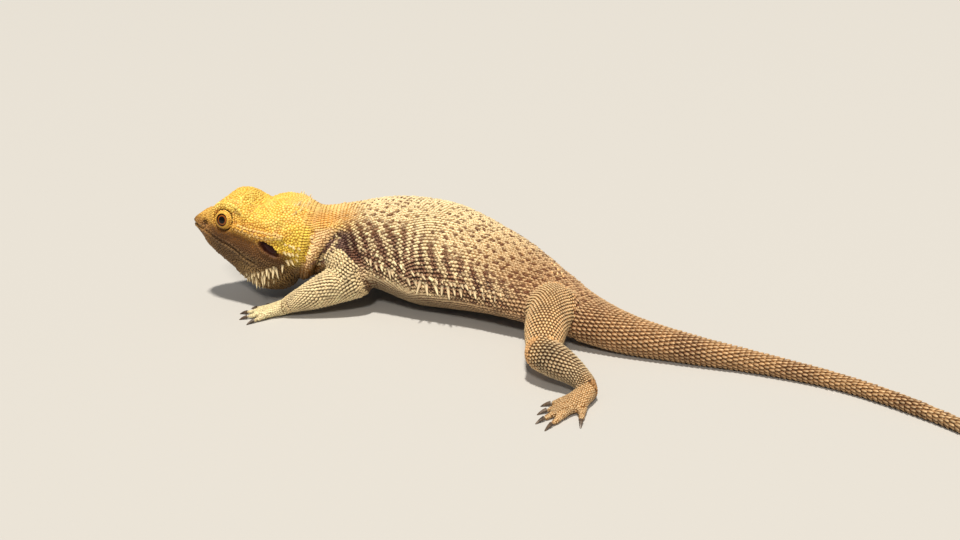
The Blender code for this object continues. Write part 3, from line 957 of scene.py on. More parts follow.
def body_colours(points, places, angles):
    """Colours of the scales' crests, their gaps and their tips, along the body."""
    side = side_of(angles)
    local = head_mirrored(points)
    c = local[:, 2]
    speck = spotty(points, 0.35, 3.0)
    cloud = spotty(points, 1.5, 7.0)

    behind_ear = smoothstep(3.9, 4.6, places) * smoothstep(0.95, 0.6, c) * smoothstep(0.0, 0.25, c)
    neck = smoothstep(4.5, 5.4, places)
    trunk = smoothstep(6.1, 9.2, places)
    tail = smoothstep(19.0, 22.0, places)
    past_edge = places - (5.61 + (91 - side) * 0.0056)
    past_crease = places - (6.09 + (91 - side) * 0.0210)
    fold = smoothstep(-0.05, 0.08, past_edge) * smoothstep(46, 58, side) * smoothstep(130, 110, side)
    # The hollow behind the neck fold, darkened as painted shade.
    hollow = smoothstep(-0.06, 0.06, past_crease) * smoothstep(48, 60, side) * smoothstep(118, 100, side)
    hollow = hollow * smoothstep(9.2, 7.4, places + 0.5 * speck)
    on_neck = painted(
        NECK_SIDE,
        (YELLOW, smoothstep(42, 62, side) * smoothstep(6.0, 5.5, places)),
        (NAPE, smoothstep(30, 15, side)),
        (ORANGE, bump(side - 32 + 5 * speck, 16) * smoothstep(4.9, 5.6, places) * 0.8),
        (NECK_FOLD, fold),
        (THROAT, smoothstep(96, 122, side)),
    )
    on_trunk = painted(
        BACK,
        (FLANK, smoothstep(44, 72, side)),
        (REAR, smoothstep(13.0, 18.5, places) * 0.85),
        # The belly darkened with painted shade.
        (BELLY_IN_SHADE, smoothstep(96, 112, side)),
    )
    on_tail = painted(
        TAIL_ROOT,
        (TAIL_MIDDLE, smoothstep(23, 29, places)),
        (TAIL_END, smoothstep(32, 40, places)),
        # The tail's underside darkened with painted shade.
        (BELLY_IN_SHADE, smoothstep(115, 150, side) * 0.6),
    )
    crest = painted(
        head_crest(points, local, places, side, speck),
        # Painted shade in the hollow behind the neck fold.
        (YELLOW, behind_ear), (on_neck, neck), (on_trunk, trunk), (HOLLOW_SHADE, hollow * 0.92), (on_tail, tail),
    )

    flank = smoothstep(30, 46, side + 6 * speck) * smoothstep(97, 88, side) * smoothstep(6.9, 7.6, places)
    flank = flank * smoothstep(19.5, 16.0, places)
    streak = np.sin(places * 7.8 - side * 0.27 + 1.0 * cloud + 0.35 * speck)
    dark = smoothstep(-0.15, 0.25, streak - 0.15 + 0.65 * smoothstep(46, 82, side)) * flank * 0.95
    patch = smoothstep(-0.05, 0.30, cloud + 0.3 * speck) * smoothstep(64, 74, side) * smoothstep(94, 88, side)
    dark = np.maximum(dark, patch * smoothstep(7.2, 8.0, places) * smoothstep(17.5, 14.5, places) * 0.92)
    bands = smoothstep(0.3, 0.9, np.sin(places * 1.55 + 0.6)) * tail * smoothstep(140, 90, side)
    dark = np.clip(dark + 0.5 * bands, 0, 1)
    crest = mix(crest, crest * DARKENED, dark)

    gap = painted(
        np.array(GAP_ORANGE) * 0.75,
        (GAP_GOLD, smoothstep(0.9, 1.6, c)),
        # Gaps under the head darkened as painted shade.
        (SHADE_DARK, smoothstep(0.3, -0.5, c) * (places < 5.5) * (1 - behind_ear)),
        (GAP_BROWN, smoothstep(5.6, 6.6, places) * smoothstep(30, 60, side)),
        (GAP_TAN, smoothstep(6.8, 8.4, places) * smoothstep(60, 40, side) * smoothstep(19, 13, places)),
        (GAP_BROWN, smoothstep(13, 19, places)),
        # Gaps are purple-brown low on the flanks, and darkened as painted shade in the hollow behind the neck
        # fold.
        (GAP_PURPLE, np.maximum(hollow, flank * smoothstep(44, 62, side))),
        (FOLD_GAP, fold * neck * smoothstep(0.1, -0.1, past_crease)),
    )
    gap = gap * (1 - 0.5 * dark[:, None])
    pale = flank * smoothstep(0.45, 0.0, dark) * smoothstep(7.4, 8.6, places)
    gap = mix(gap, GAP_TAN, pale * 0.5)
    # Scale tips under the head stay dark, as painted shade.
    plain = smoothstep(0.6, 0.1, c) * (1 - neck)
    # Share of pale at the scale tips: partly the scales' own pale tips, partly painted highlight; held down
    # by painted shade in the neck's hollow and under the head.
    light = 0.22 + 0.43 * trunk - 0.35 * hollow - 0.50 * np.minimum(dark, flank) + 0.25 * pale - 0.17 * plain
    # Scale tips on the belly are kept dark as painted shade.
    light = light - 0.30 * trunk * smoothstep(92, 106, side)
    russet = smoothstep(11.0, 18.0, places) * (1 - 0.5 * smoothstep(30, 38, places)) * 0.7
    # Painted highlight: scale tips paler on the top of the head, as if lit from above.
    crown_highlight = (1 - neck) * smoothstep(0.2, 0.9, c) * 0.4
    tip = painted(crest, (CREAM, light), (RUSSET_TIP, russet), (CROWN_LIGHT, crown_highlight))
    return np.stack([mix(crest, CREAM, 0.35 * pale), gap, tip], axis=1)


def shadow_dotted(colours, dark):
    """The same colours with a dark brown dot of painted shadow laid over them."""
    return mix(colours, PAINTED_SHADE_BROWN, dark[:, None] * SHADOW_DOT_SHARES)


LIMB_COLOURS = {"upper": ARM, "forearm": ARM, "thigh": THIGH, "shin": SHIN, "hand": HAND, "foot": FOOT}


def limb_colours(points, kind, share):
    """Colours of a limb's crests, gaps and tips. The share runs from 0 at its root to 1 at its end."""
    crest = np.tile(LIMB_COLOURS[kind], (len(points), 1))
    if kind == "shin":
        crest = painted(crest, (THIGH, smoothstep(0.30, 0.0, share)), (FOOT, smoothstep(0.80, 1.0, share)))
    crest = crest * (1 - 0.30 * smoothstep(0.0, 0.7, spotty(points, 0.7, 5.0)))[:, None]
    if kind == "thigh":
        crest = mix(crest, FOOT, smoothstep(0.1, 0.8, spotty(points, 0.5, 9.0)) * 0.5)
    # Gaps between the limb scales are darkened, partly as painted shade.
    gap = np.array(GAP_ORANGE if kind in ("hand", "foot") else GAP_BROWN) * 0.36
    return np.stack([crest, np.tile(gap, (len(points), 1)), mix(crest, CREAM, 0.6)], axis=1)


# ---------------------------------------------------------------- scales

# The lightness runs from the gap colour at a scale's foot, painted shade where it meets the skin, to pale at
# its raised tip, partly the scale's own pale tip and partly painted highlight.
# Keeled scale: (x, y, height, lightness) round its rim, from the root past one side to the tip and back.
KEELED_RIM = [
    (-0.52, 0.00, 0.02, 0.05),
    (-0.34, 0.30, 0.22, 0.12),
    (0.00, 0.47, 0.38, 0.20),
    (0.34, 0.36, 0.55, 0.32),
    (0.66, 0.00, 0.86, 0.95),
    (0.34, -0.36, 0.55, 0.32),
    (0.00, -0.47, 0.38, 0.20),
    (-0.34, -0.30, 0.22, 0.12),
]
# The same for the points on its top: the keel and the shoulders on both sides of it.
KEELED_TOP = [
    (-0.28, 0.00, 0.42, 0.50),
    (-0.06, 0.16, 0.62, 0.70),
    (-0.06, -0.16, 0.62, 0.70),
    (0.02, 0.00, 0.80, 0.90),
    (0.34, 0.00, 1.00, 1.00),
]
KEELED_TIP = 4
KEELED_HALF = [(8, 16, 9), (9, 16, 17), (9, 17, 10), (16, 19, 17), (10, 17, 11), (17, 19, 20), (17, 20, 11),
               (11, 20, 12)]
KEELED_MIRROR = {8: 8, 16: 16, 9: 15, 17: 18, 10: 14, 19: 19, 11: 13, 20: 20, 12: 12}


def wall(sides, start=0, rows=1):
    """Triangles between rings of points that follow one another."""
    faces = []
    for row in range(rows):
        for i in range(sides):
            a = start + row * sides + i
            b = start + row * sides + (i + 1) % sides
            faces += [(a, b, b + sides), (a, b + sides, a + sides)]
    return faces


def as_shape(points, faces, light):
    return np.array(points), np.array(faces), np.array(light)


def keeled_shape():
    """A keeled scale with a raised free tip: points, faces, and each point's lightness."""
    points = [(x, y, -0.55) for x, y, _, _ in KEELED_RIM]
    points += [(x * 0.94, y * 0.94, z) for x, y, z, _ in KEELED_RIM]
    points[KEELED_TIP] = (0.50, 0.0, -0.30)
    points[KEELED_TIP + 8] = (0.67, 0.0, 0.84)
    points += [row[:3] for row in KEELED_TOP]
    faces = wall(8) + [face[::-1] for face in KEELED_HALF]
    faces += [tuple(KEELED_MIRROR[i] for i in face) for face in KEELED_HALF]
    return as_shape(points, faces, [0.0] * 8 + [row[3] for row in KEELED_RIM + KEELED_TOP])


def dome_shape(sides=8, inner=0.80, drop=0.6):
    """A low flat-topped scale that meets its neighbours in creases."""
    turn = np.arange(sides) * 2 * math.pi / sides
    ring = columns(np.cos(turn), np.sin(turn)) * 0.5
    half = sides // 2
    points = [(x, y, -drop) for x, y in ring]
    points += [(x * inner, y * inner, 0.66) for x, y in ring]
    points += [(x * inner * 0.58, y * inner * 0.58, 0.95) for x, y in ring[::2]]
    points.append((0.04, 0.0, 1.0))
    faces = wall(sides)
    for k in range(half):
        i, j = sides + 2 * k, sides + (2 * k + 2) % sides
        here, there = 2 * sides + k, 2 * sides + (k + 1) % half
        faces += [(i, i + 1, here), (i + 1, there, here), (i + 1, j, there), (here, there, 2 * sides + half)]
    return as_shape(points, faces, [0.0] * sides + [0.48] * sides + [0.85] * half + [1.0])


def spine_shape(sides=8, rows=5):
    """A curved conical spine on a broad foot. Its tip bends towards +X."""
    points, light = [], []
    for row in range(rows):
        share = row / rows
        radius = 0.5 * (1 - share) ** 0.85 * (1.25 if row == 0 else 1.0)
        for i in range(sides):
            turn = 2 * math.pi * i / sides
            points.append((radius * math.cos(turn) + 0.22 * share**2, radius * math.sin(turn),
                           -0.12 + 1.12 * share))
            light.append(0.25 + 0.75 * share)
    points.append((0.24, 0.0, 1.0))
    last = (rows - 1) * sides
    faces = wall(sides, 0, rows - 1)
    faces += [(last + i, last + (i + 1) % sides, last + sides) for i in range(sides)]
    return as_shape(points, faces, light + [1.0])


SHAPES = {
    "keeled": keeled_shape(),
    "dome": dome_shape(),
    "bead": dome_shape(6, 0.76, 0.5),
    "spine": spine_shape(),
}
LOWEST = 0.004  # cm above the floor, for every point of a scale
PATCH = 0.0022  # width of a scale's patch on the bake map, for a scale one unit wide


class Roots:
    """Where the scales of one kind stand: arrays with one row for each scale."""

    def __init__(self, coat, **rows):
        vars(self).update(rows, coat=coat)

    def only(self, chosen):
        kept = {name: rows[chosen] for name, rows in vars(self).items() if name != "coat"}
        return Roots(self.coat, **kept)


class Coat:
    """Scales gathered for one piece."""

    def __init__(self, name):
        self.name = name
        self.batches = []

    def add(self, shape, roots, sizes, tilt, spin=0.12):
        """Sizes are length, width and height. The roots' lies point to the free tip."""
        count = len(roots.spots)
        if count:
            sizes = np.broadcast_to(np.asarray(sizes, float), (count, 3))
            tilt = np.asarray(tilt, float) + RANDOM.normal(0, 0.05, count)
            self.batches.append((SHAPES[shape], roots, sizes, tilt, RANDOM.normal(0, 1, count) * spin))

    def lay(self, surface, shape, roots, sizes, tilt, spin=0.12):
        """Adds scales, and notes their roots as taken."""
        self.add(shape, roots, sizes, tilt, spin)
        surface.taken.append(roots)
        return self

    def build(self, material):
        points, faces, tints, maps = [], [], [], []
        start = 0
        for (corners, triangles, light), roots, sizes, tilt, spin in self.batches:
            count = len(sizes)
            made = np.einsum("nvk,nkj->nvj", corners[None] * sizes[:, None], scale_axes(roots, tilt, spin))
            made = made + roots.spots[:, None]
            made[..., 2] = np.maximum(made[..., 2], LOWEST)
            points.append(made.reshape(-1, 3))
            first = start + np.arange(count) * len(corners)
            faces.append((triangles[None] + first[:, None, None]).reshape(-1, 3))
            tints.append(scale_tints(roots.colours, light))
            maps.append((roots.maps[:, None] + corners[None, :, :2] * PATCH).reshape(-1, 2))
            start += count * len(corners)
        mesh = mesh_from(self.name, np.concatenate(points), np.concatenate(faces))
        add_tint(mesh, np.concatenate(tints))
        layer = mesh.uv_layers.new(name="OFBake")
        patches = np.clip(np.concatenate(maps), 0, 1)[read(mesh.loops, "vertex_index", 1, np.int64)]
        layer.uv.foreach_set("vector", patches.astype(np.float32).ravel())
        return show(self.name, mesh, material)


def scale_axes(roots, tilt, spin):
    """Each scale's own axes: towards its tip, across and out of the skin."""
    normal = unit(roots.normals)
    lie = unit(roots.lies - normal * dots(roots.lies, normal)[:, None])
    spin, tilt = spin[:, None], tilt[:, None]
    ahead = lie * np.cos(spin) + np.cross(normal, lie) * np.sin(spin)
    across = np.cross(normal, ahead)
    lifted = ahead * np.cos(tilt) + normal * np.sin(tilt)
    return np.stack([lifted, across, np.cross(lifted, across)], axis=1)


def scale_tints(colours, light):
    """Colour of every corner: gap colour at the rim as painted shade at the scale's foot, crest on top, pale
    at the tip, partly the scale's own pale tip and partly painted highlight.
    """
    crest, gap, tip = colours[:, None].transpose(2, 0, 1, 3)
    vary = 1 + 0.10 * RANDOM.normal(0, 1, (len(crest), 1, 1)).clip(-2, 2)
    light = light[None, :, None]
    low = gap * (1 - smoothstep(0.0, 0.5, light)) + crest * smoothstep(0.0, 0.5, light)
    top = smoothstep(0.7, 1.0, light)
    return ((low * (1 - top) + tip * top) * vary).clip(0, 1).reshape(-1, 3)


def mesh_from(name, points, faces):
    """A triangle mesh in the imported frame."""
    mesh = bpy.data.meshes.new(name)
    mesh.vertices.add(len(points))
    mesh.vertices.foreach_set("co", placed(points).astype(np.float32).ravel())
    mesh.loops.add(faces.size)
    mesh.loops.foreach_set("vertex_index", faces.astype(np.int32).ravel())
    mesh.polygons.add(len(faces))
    mesh.polygons.foreach_set("loop_start", np.arange(0, faces.size, 3, dtype=np.int32))
    mesh.update(calc_edges=True)
    mesh.validate()
    mesh.shade_smooth()
    return mesh


def add_tint(mesh, colours):
    layer = mesh.color_attributes.new("Tint", "FLOAT_COLOR", "POINT")
    rgba = np.hstack([colours, np.ones((len(colours), 1))])
    layer.data.foreach_set("color", rgba.astype(np.float32).ravel())


# ---------------------------------------------------------------- setting the scales

def tube_map(places, angles, start, end, band=0, bands=1):
    """Where a root falls on the unwrap: along the tube, and round it."""
    along = np.clip((places - start) / (end - start), 0, 1) * 0.98 + 0.01
    round_way = ((angles + math.pi / 2) / (2 * math.pi)) % 1.0
    return columns(along, (band + 0.01 + 0.98 * round_way) / bands)


def body_roots(coat, spots, normals, lies, places, angles, span):
    """Roots with the colours of the body. The span is the part of it that the coat's map covers."""
    return Roots(
        coat, spots=spots, normals=normals, lies=lies, places=places, sides=side_of(angles),
        maps=tube_map(places, angles, *span), colours=body_colours(spots, places, angles),
    )


BODY_LIMITS = (0.35, 0.4, 0.45, 0.5)  # deepest, highest, least facing and farthest shift of a root


def body_rows(surface, coat, rows, span):
    """Rows of roots round the body, as lattice takes them. Those buried in a limb are dropped."""
    places, angles = lattice(BODY_TUBE, *rows)
    points, wanted, tangent = BODY_TUBE.surface(places, angles)
    spots, normals, fits = surface.settle(points, wanted, *BODY_LIMITS)
    return body_roots(coat, spots[fits], normals[fits], tangent[fits], places[fits], angles[fits], span)


def head_spacing(points):
    """Half the distance between scales on the head."""
    local = head_mirrored(points)
    a, b, c = local.T
    size = np.full(len(points), 0.056)
    size = size + 0.010 * smoothstep(0.9, 1.3, c) * smoothstep(3.2, 2.4, a)
    size = size - 0.010 * smoothstep(0.6, 0.0, c) * smoothstep(0.5, 1.2, b)
    size = size - 0.008 * smoothstep(2.9, 3.6, a)
    size = size + 0.026 * smoothstep(1.6, 0.4, a) * smoothstep(-0.8, -1.4, c)
    size = size + 0.014 * bump(distance_to(local, TEMPORAL_RIDGE, 24)[0], 0.14)
    size = size + 0.006 * bump(distance_to(local, BROW, 16)[0], 0.16)
    for side in (1, -1):
        size = size - 0.016 * bump(eye_place(points, side)[1], 0.62)
    return size


def open_places(points):
    """True where the head bears scales: not in the ears, nostrils or between the lids."""
    local = head_mirrored(points)
    ear, near_ear = ear_place(local)
    clear = (ear > 1.10) | ~near_ear
    clear &= norms(local - NOSTRIL) > 0.185
    clear &= (distance_to(local, MOUTH)[0] > 0.055) | (local[:, 0] < 0.7)
    for side in (1, -1):
        height, radius, opening = eye_place(points, side)
        clear &= ~((opening < 1.10) & (height > -0.2))
        clear &= ~((np.abs(radius - LID_CREASE) < 0.028) & (height > -0.2))
    return clear


def head_lies(points):
    """Scales of the head lie backwards, and on the beard down as well."""
    local = head_local(points)
    low = smoothstep(-0.6, -1.2, local[:, 2])[:, None]
    out = np.sign(local[:, 1])[:, None] * LEFT
    return unit(-FORWARD * (1 - 0.55 * low) - UP * 0.55 * low + out * 0.2 * low)


LID_RADIUS = 0.032
LID_SCALE = (LID_RADIUS * 2.3, LID_RADIUS * 2.2, 0.022)
LID_RINGS = [(1.16, 0.070), (1.38, 0.076)]  # share of the opening, distance between scales
HEAD_ROWS = [
    # line, shift, count, size of each scale, shape
    (MOUTH, (0, 0, 0.112), 25, (0.20, 0.145, 0.034), "dome"),
    (MOUTH, (0, 0, -0.118), 25, (0.20, 0.145, 0.034), "dome"),
    (BROW, (0, 0.03, -0.02), 13, (0.21, 0.17, 0.05), "dome"),
    (BROW, (0, -0.10, 0.09), 12, (0.20, 0.17, 0.045), "dome"),
    (TEMPORAL_RIDGE, (0, 0, 0.0), 13, (0.24, 0.19, 0.075), "keeled"),
    (TEMPORAL_RIDGE, (-0.08, 0, 0.19), 14, (0.21, 0.17, 0.055), "keeled"),
]
PALE_PLATES = {"dome": 0.03, "keeled": 0.35}  # share of pale on the long plates
LONG_PLATE = 0.18
HEAD_SPAN = (0.0, 5.8)
HEAD_CANDIDATES = 60000


def plates(surface):
    """Rings of tiny scales on the lids, and rows of plates along the lips, brows and temples."""
    groups = []
    for side in (1, -1):
        outward, ahead, over = eye_axes(side)
        centre = eye_centre(side)
        for reach, step in LID_RINGS:
            half_x, half_y = LID_OPENING[0] * reach, LID_OPENING[1] * reach
            count = int(math.pi * (half_x + half_y) / step)
            turn = np.arange(count) * 2 * math.pi / count
            ring = (centre + outward * 0.36 + ahead * (half_x * np.cos(turn))[:, None]
                    + over * (half_y * np.sin(turn))[:, None])
            spots, normals, _ = surface.drop(ring)
            groups.append(("dome", LID_SCALE, LID_RADIUS, spots, normals, unit(spots - centre)))
        for line, offset, count, size, shape in HEAD_ROWS:
            world = head_world(resampled(line, count)[1:] * np.array([1, side, 1]) + offset)
            spots, normals, _ = surface.drop(world)
            groups.append((shape, size, size[1] * 0.48, spots, normals, np.gradient(world, axis=0)))
    return groups


def head_points(surface, taken, taken_radii):
    """Irregular, evenly packed places all over the head, clear of those already taken."""
    def keep(middles):
        a, b, c = head_mirrored(middles).T
        return (a > -1.3) & (b < 3.2) & (c > -2.8)

    candidates = surface.scatter(HEAD_CANDIDATES, keep)
    places, _, gap = FINDER.find(candidates)
    candidates = candidates[(places < 5.35) & (gap < 0.5) & open_places(candidates)]
    chosen = thinned(candidates, head_spacing(candidates) * 0.86, taken, taken_radii * 0.9)
    points = spread_out(surface, candidates[chosen], head_spacing)
    points = points[open_places(points)]
    return points[nearest(tree_of(taken), points)[1] > 0.07]


def coat_head(surface):
    coat = Coat("scales_head")
    groups = plates(surface)
    radii = np.concatenate([np.full(len(spots), radius) for _, _, radius, spots, _, _ in groups])
    points = head_points(surface, np.concatenate([group[3] for group in groups]), radii)
    spots, normals, _ = surface.drop(points)
    places, angles, _ = FINDER.find(spots)
    roots = body_roots(coat, spots, normals, head_lies(spots), places, angles, HEAD_SPAN)
    radius = head_spacing(spots)
    local = head_mirrored(spots)
    beard = smoothstep(2.2, 1.2, local[:, 0]) * smoothstep(-0.75, -1.05, local[:, 2])
    ridge = bump(distance_to(local, TEMPORAL_RIDGE, 24)[0], 0.13)
    keeled = (beard > 0.5) | (ridge > 0.6)
    size = radius * RANDOM.uniform(2.25, 2.62, len(radius))
    flat = columns(size, size * RANDOM.uniform(0.86, 1.02, len(size)), 0.016 + 0.13 * radius)
    sharp = columns(radius * 3.0, radius * 2.1, radius * 1.15)
    coat.add("dome", roots.only(~keeled), flat[~keeled], 0.06, 0.5)
    coat.add("keeled", roots.only(keeled), sharp[keeled], 0.22)
    surface.taken.append(roots)
    for shape, size, _, spots, normals, lies in groups:
        places, angles, _ = FINDER.find(spots)
        roots = body_roots(coat, spots, normals, lies, places, angles, HEAD_SPAN)
        if size[0] > LONG_PLATE:
            roots.colours[:, 0] = mix(roots.colours[:, 0], PALE, PALE_PLATES[shape])
        coat.lay(surface, shape, roots, size, 0.14 if shape == "keeled" else 0.0)
    return coat


NECK_START, NECK_END, TRUNK_END = 5.2, 7.0, 20.5
TRUNK_SPAN = (NECK_END - 0.5, TRUNK_END + 0.5)


def coat_neck(surface):
    coat = Coat("scales_neck")
    grows = (0.03, 5.8, NECK_END)
    rows = (NECK_START, NECK_END, pitch(0.13, grows), pitch(0.135, grows))
    roots = body_rows(surface, coat, rows, (4.8, NECK_END + 0.5))
    bold = smoothstep(6.0, NECK_END, roots.places)
    sizes = columns(0.185 + 0.04 * bold, 0.130 + 0.03 * bold, 0.036 + 0.03 * bold)
    return coat.lay(surface, "keeled", roots, sizes, 0.12)


# Painted shadow dots: dark brown laid on scales and beads of the back, where a raised scale's shadow falls.
SHADOW_DOT_SPACING = 0.34
SHADOW_DOT_RADIUS = 0.112
SHADOW_DOT_BLUR = 0.034
SHADOW_DOT_SIDES = (46, 66)  # degrees from the top over which the dots fade


def shadow_dot_strength(places, sides):
    """The painted shadow dots of the back fade on the neck and low on the flanks."""
    return smoothstep(*SHADOW_DOT_SIDES[::-1], sides) * smoothstep(6.9, 7.6, places)


def coat_trunk(surface):
    coat = Coat("scales_trunk")
    rows = (NECK_END, TRUNK_END, pitch(0.165, (0.025, 7.0, 9.0)), pitch(0.160, (0.022, 7.0, 9.0)), 0, 97)
    roots = body_rows(surface, coat, rows, TRUNK_SPAN)
    # Scattered scales take a dot of painted shadow, and are made lower and smaller than the rest.
    order = RANDOM.permutation(np.flatnonzero(roots.sides < SHADOW_DOT_SIDES[1]))
    dotted = np.zeros(len(roots.spots), bool)
    dotted[order[thinned(roots.spots[order], np.full(len(order), SHADOW_DOT_SPACING / 2))]] = True
    coat.dots = roots.spots[dotted] + roots.lies[dotted] * 0.05
    spot = dotted * shadow_dot_strength(roots.places, roots.sides)
    spot = spot * RANDOM.uniform(0.72, 1.0, len(spot))
    roots.colours = shadow_dotted(roots.colours, spot)
    low = smoothstep(45, 75, roots.sides)
    grown = smoothstep(7.0, 9.0, roots.places)
    rear = smoothstep(17.0, TRUNK_END, roots.places)
    uneven = (1 + 0.10 * RANDOM.normal(0, 1, len(spot)).clip(-2, 2)) * (1 - 0.26 * spot)
    length = (0.165 + 0.030 * grown + 0.045 * rear) * uneven
    width = (0.130 + 0.014 * grown + 0.014 * rear) * uneven
    height = (0.040 + 0.034 * grown + 0.014 * low) * uneven * (1 - 0.25 * spot)
    return coat.lay(surface, "keeled", roots, columns(length, width, height), 0.20 + 0.08 * low)


BELLY_SCALE = (0.235, 0.175, 0.045)


def coat_belly(surface):
    coat = Coat("scales_belly")
    roots = body_rows(surface, coat, (NECK_END, TRUNK_END, pitch(0.165), pitch(0.17), 98, 180), TRUNK_SPAN)
    return coat.lay(surface, "keeled", roots, BELLY_SCALE, 0.05)


def coat_tail(surface):
    coat = Coat("scales_tail")
    end = BODY_TUBE.length
    row_pitch = pitch(0.192, (0.008, 20.5, 24.5), (-0.04, 34, 44))
    arc_pitch = pitch(0.176, (-0.020, 24, 30), (-0.040, 33, 42))
    rows = (TRUNK_END, end - 0.05, row_pitch, arc_pitch)
    roots = body_rows(surface, coat, rows, (TRUNK_END - 0.5, end + 0.5))
    wide = arc_pitch(roots.places)
    bold = smoothstep(30, 22, roots.places)
    sizes = columns(row_pitch(roots.places) * 1.24, wide * 0.88, wide * (0.34 + 0.16 * bold))
    return coat.lay(surface, "keeled", roots, sizes, 0.16, 0.05)


NARROWING = 0.38  # of the scales towards the wrist and the ankle
LIMB_ENDS = 0.25  # cm beyond a limb's ends that its map covers


def limb_rows(surface, coat, name, tube, pitches, depth, gap, place_on_map):
    """Rows of roots on a limb or a digit, clear of all scales set so far by the gap."""
    narrowing = NARROWING if name.startswith(("forearm", "shin")) else 0.0

    def shrink(places):
        return 1 - narrowing * smoothstep(0.55, 1.0, places / tube.length)

    row_pitch, arc_pitch = pitches
    places, angles = lattice(tube, 0.0, tube.length, lambda t: row_pitch * shrink(t),
                             lambda t: arc_pitch * shrink(t))
    points, wanted, tangent = tube.surface(places, angles)
    spots, normals, fits = surface.settle(points, wanted, depth, 0.3, 0.3, math.inf)
    roots = Roots(
        coat, spots=spots, normals=normals, lies=tangent, shrink=shrink(places),
        maps=tube_map(places, angles, -LIMB_ENDS, tube.length + LIMB_ENDS, *place_on_map),
        colours=limb_colours(spots, name.split("_")[0], places / tube.length),
    ).only(fits)
    tree = tree_of(np.concatenate([other.spots for other in surface.taken]))
    return roots.only(nearest(tree, roots.spots)[1] > gap)


LIMB_PITCH = {"upper": 0.160, "forearm": 0.165, "thigh": 0.142, "shin": 0.150}
LIMB_SCALE = np.array((1.30, 0.92, 0.48))  # shares of the pitch


def coat_limbs(surface):
    coat = Coat("scales_limbs")
    for band, (name, tube) in enumerate(LIMB_TUBES.items()):
        step = LIMB_PITCH[name.split("_")[0]]
        roots = limb_rows(surface, coat, name, tube, (step, step), 0.30, 0.10, (band, len(LIMB_TUBES)))
        coat.lay(surface, "keeled", roots, roots.shrink[:, None] * step * LIMB_SCALE, 0.27)
    return coat


PALM_SCALES = (0.10, (0.135, 0.105, 0.032))  # distance between rows, size
DIGIT_SCALES = (0.088, (0.12, 0.10, 0.028))


def coat_feet(surface):
    coat = Coat("scales_feet")
    parts = [(name, number, tube) for name, tubes in FOOT_TUBES.items() for number, tube in enumerate(tubes)]
    for band, (name, number, tube) in enumerate(parts):
        step, size = DIGIT_SCALES if number else PALM_SCALES
        roots = limb_rows(surface, coat, name, tube, (step, 0.095), 0.14, 0.062, (band, len(parts)))
        coat.lay(surface, "keeled", roots, size, 0.10)
    return coat


BEAD = (0.125, 0.115, 0.045)
BIG_BEAD = (0.150, 0.128, 0.060)
BEAD_CANDIDATES = 420000
BEAD_RADIUS = 0.043
HEAD_NEED, BODY_NEED = 0.085, 0.098  # least distance from a bead to a scale, on the head and behind it
MOST_NEED = 1.2


def bare_spots(surface, spots):
    """Places on the skin away from these spots, the barest first, and each one's nearest spot."""
    candidates = surface.scatter(BEAD_CANDIDATES, lambda middles: middles[:, 2] > 0.02)
    candidates = candidates[open_places(candidates)]
    index, gap = nearest(tree_of(spots), candidates)
    need = np.where(head_local(candidates)[:, 0] > -1.0, HEAD_NEED, BODY_NEED)
    bare = np.flatnonzero((gap > need) & (gap < MOST_NEED))
    bare = bare[np.argsort(-gap[bare], kind="stable")]
    bare = bare[thinned(candidates[bare], np.full(len(bare), BEAD_RADIUS))]
    return candidates[bare], index[bare]


def fill_bare_skin(surface):
    """Beads wherever the rows leave bare skin: between big scales, in creases and at joints."""
    counts = [len(roots.spots) for roots in surface.taken]
    owner = np.repeat(np.arange(len(counts)), counts)
    inside = np.concatenate([np.arange(count) for count in counts])
    points, index = bare_spots(surface, np.concatenate([roots.spots for roots in surface.taken]))
    spots, normals, _ = surface.drop(points)
    for i, roots in enumerate(surface.taken):
        mine = np.flatnonzero(owner[index] == i)
        if len(mine) == 0:
            continue
        near = inside[index[mine]]
        away = spots[mine] - roots.spots[near]
        nudge = columns(dots(away, roots.lies[near]), away[:, 2]) * 0.03
        colours = roots.colours[near]
        plain = np.full((len(mine), 1), 0.92)
        if roots.coat.name == "scales_trunk":
            sides = roots.sides[near]
            # Beads near a painted shadow dot are darkened by it too.
            reach = nearest(tree_of(roots.coat.dots), spots[mine])[1]
            dark = smoothstep(SHADOW_DOT_RADIUS, SHADOW_DOT_RADIUS - SHADOW_DOT_BLUR, reach)
            colours = shadow_dotted(colours, dark * shadow_dot_strength(roots.places[near], sides))
            plain = (0.88 - 0.25 * smoothstep(*SHADOW_DOT_SIDES, sides))[:, None]
        crest, gap = colours[:, 0], colours[:, 1]
        colours = np.stack([crest * plain + gap * (1 - plain), gap, crest * (0.4 + 0.6 * plain)], axis=1)
        beads = Roots(roots.coat, spots=spots[mine], normals=normals[mine], lies=roots.lies[near],
                      colours=colours, maps=roots.maps[near] + nudge)
        roots.coat.add("bead", beads, BIG_BEAD if roots.coat.name == "scales_limbs" else BEAD, 0.05, 1.0)


SPINE_SPAN = (0, 25)


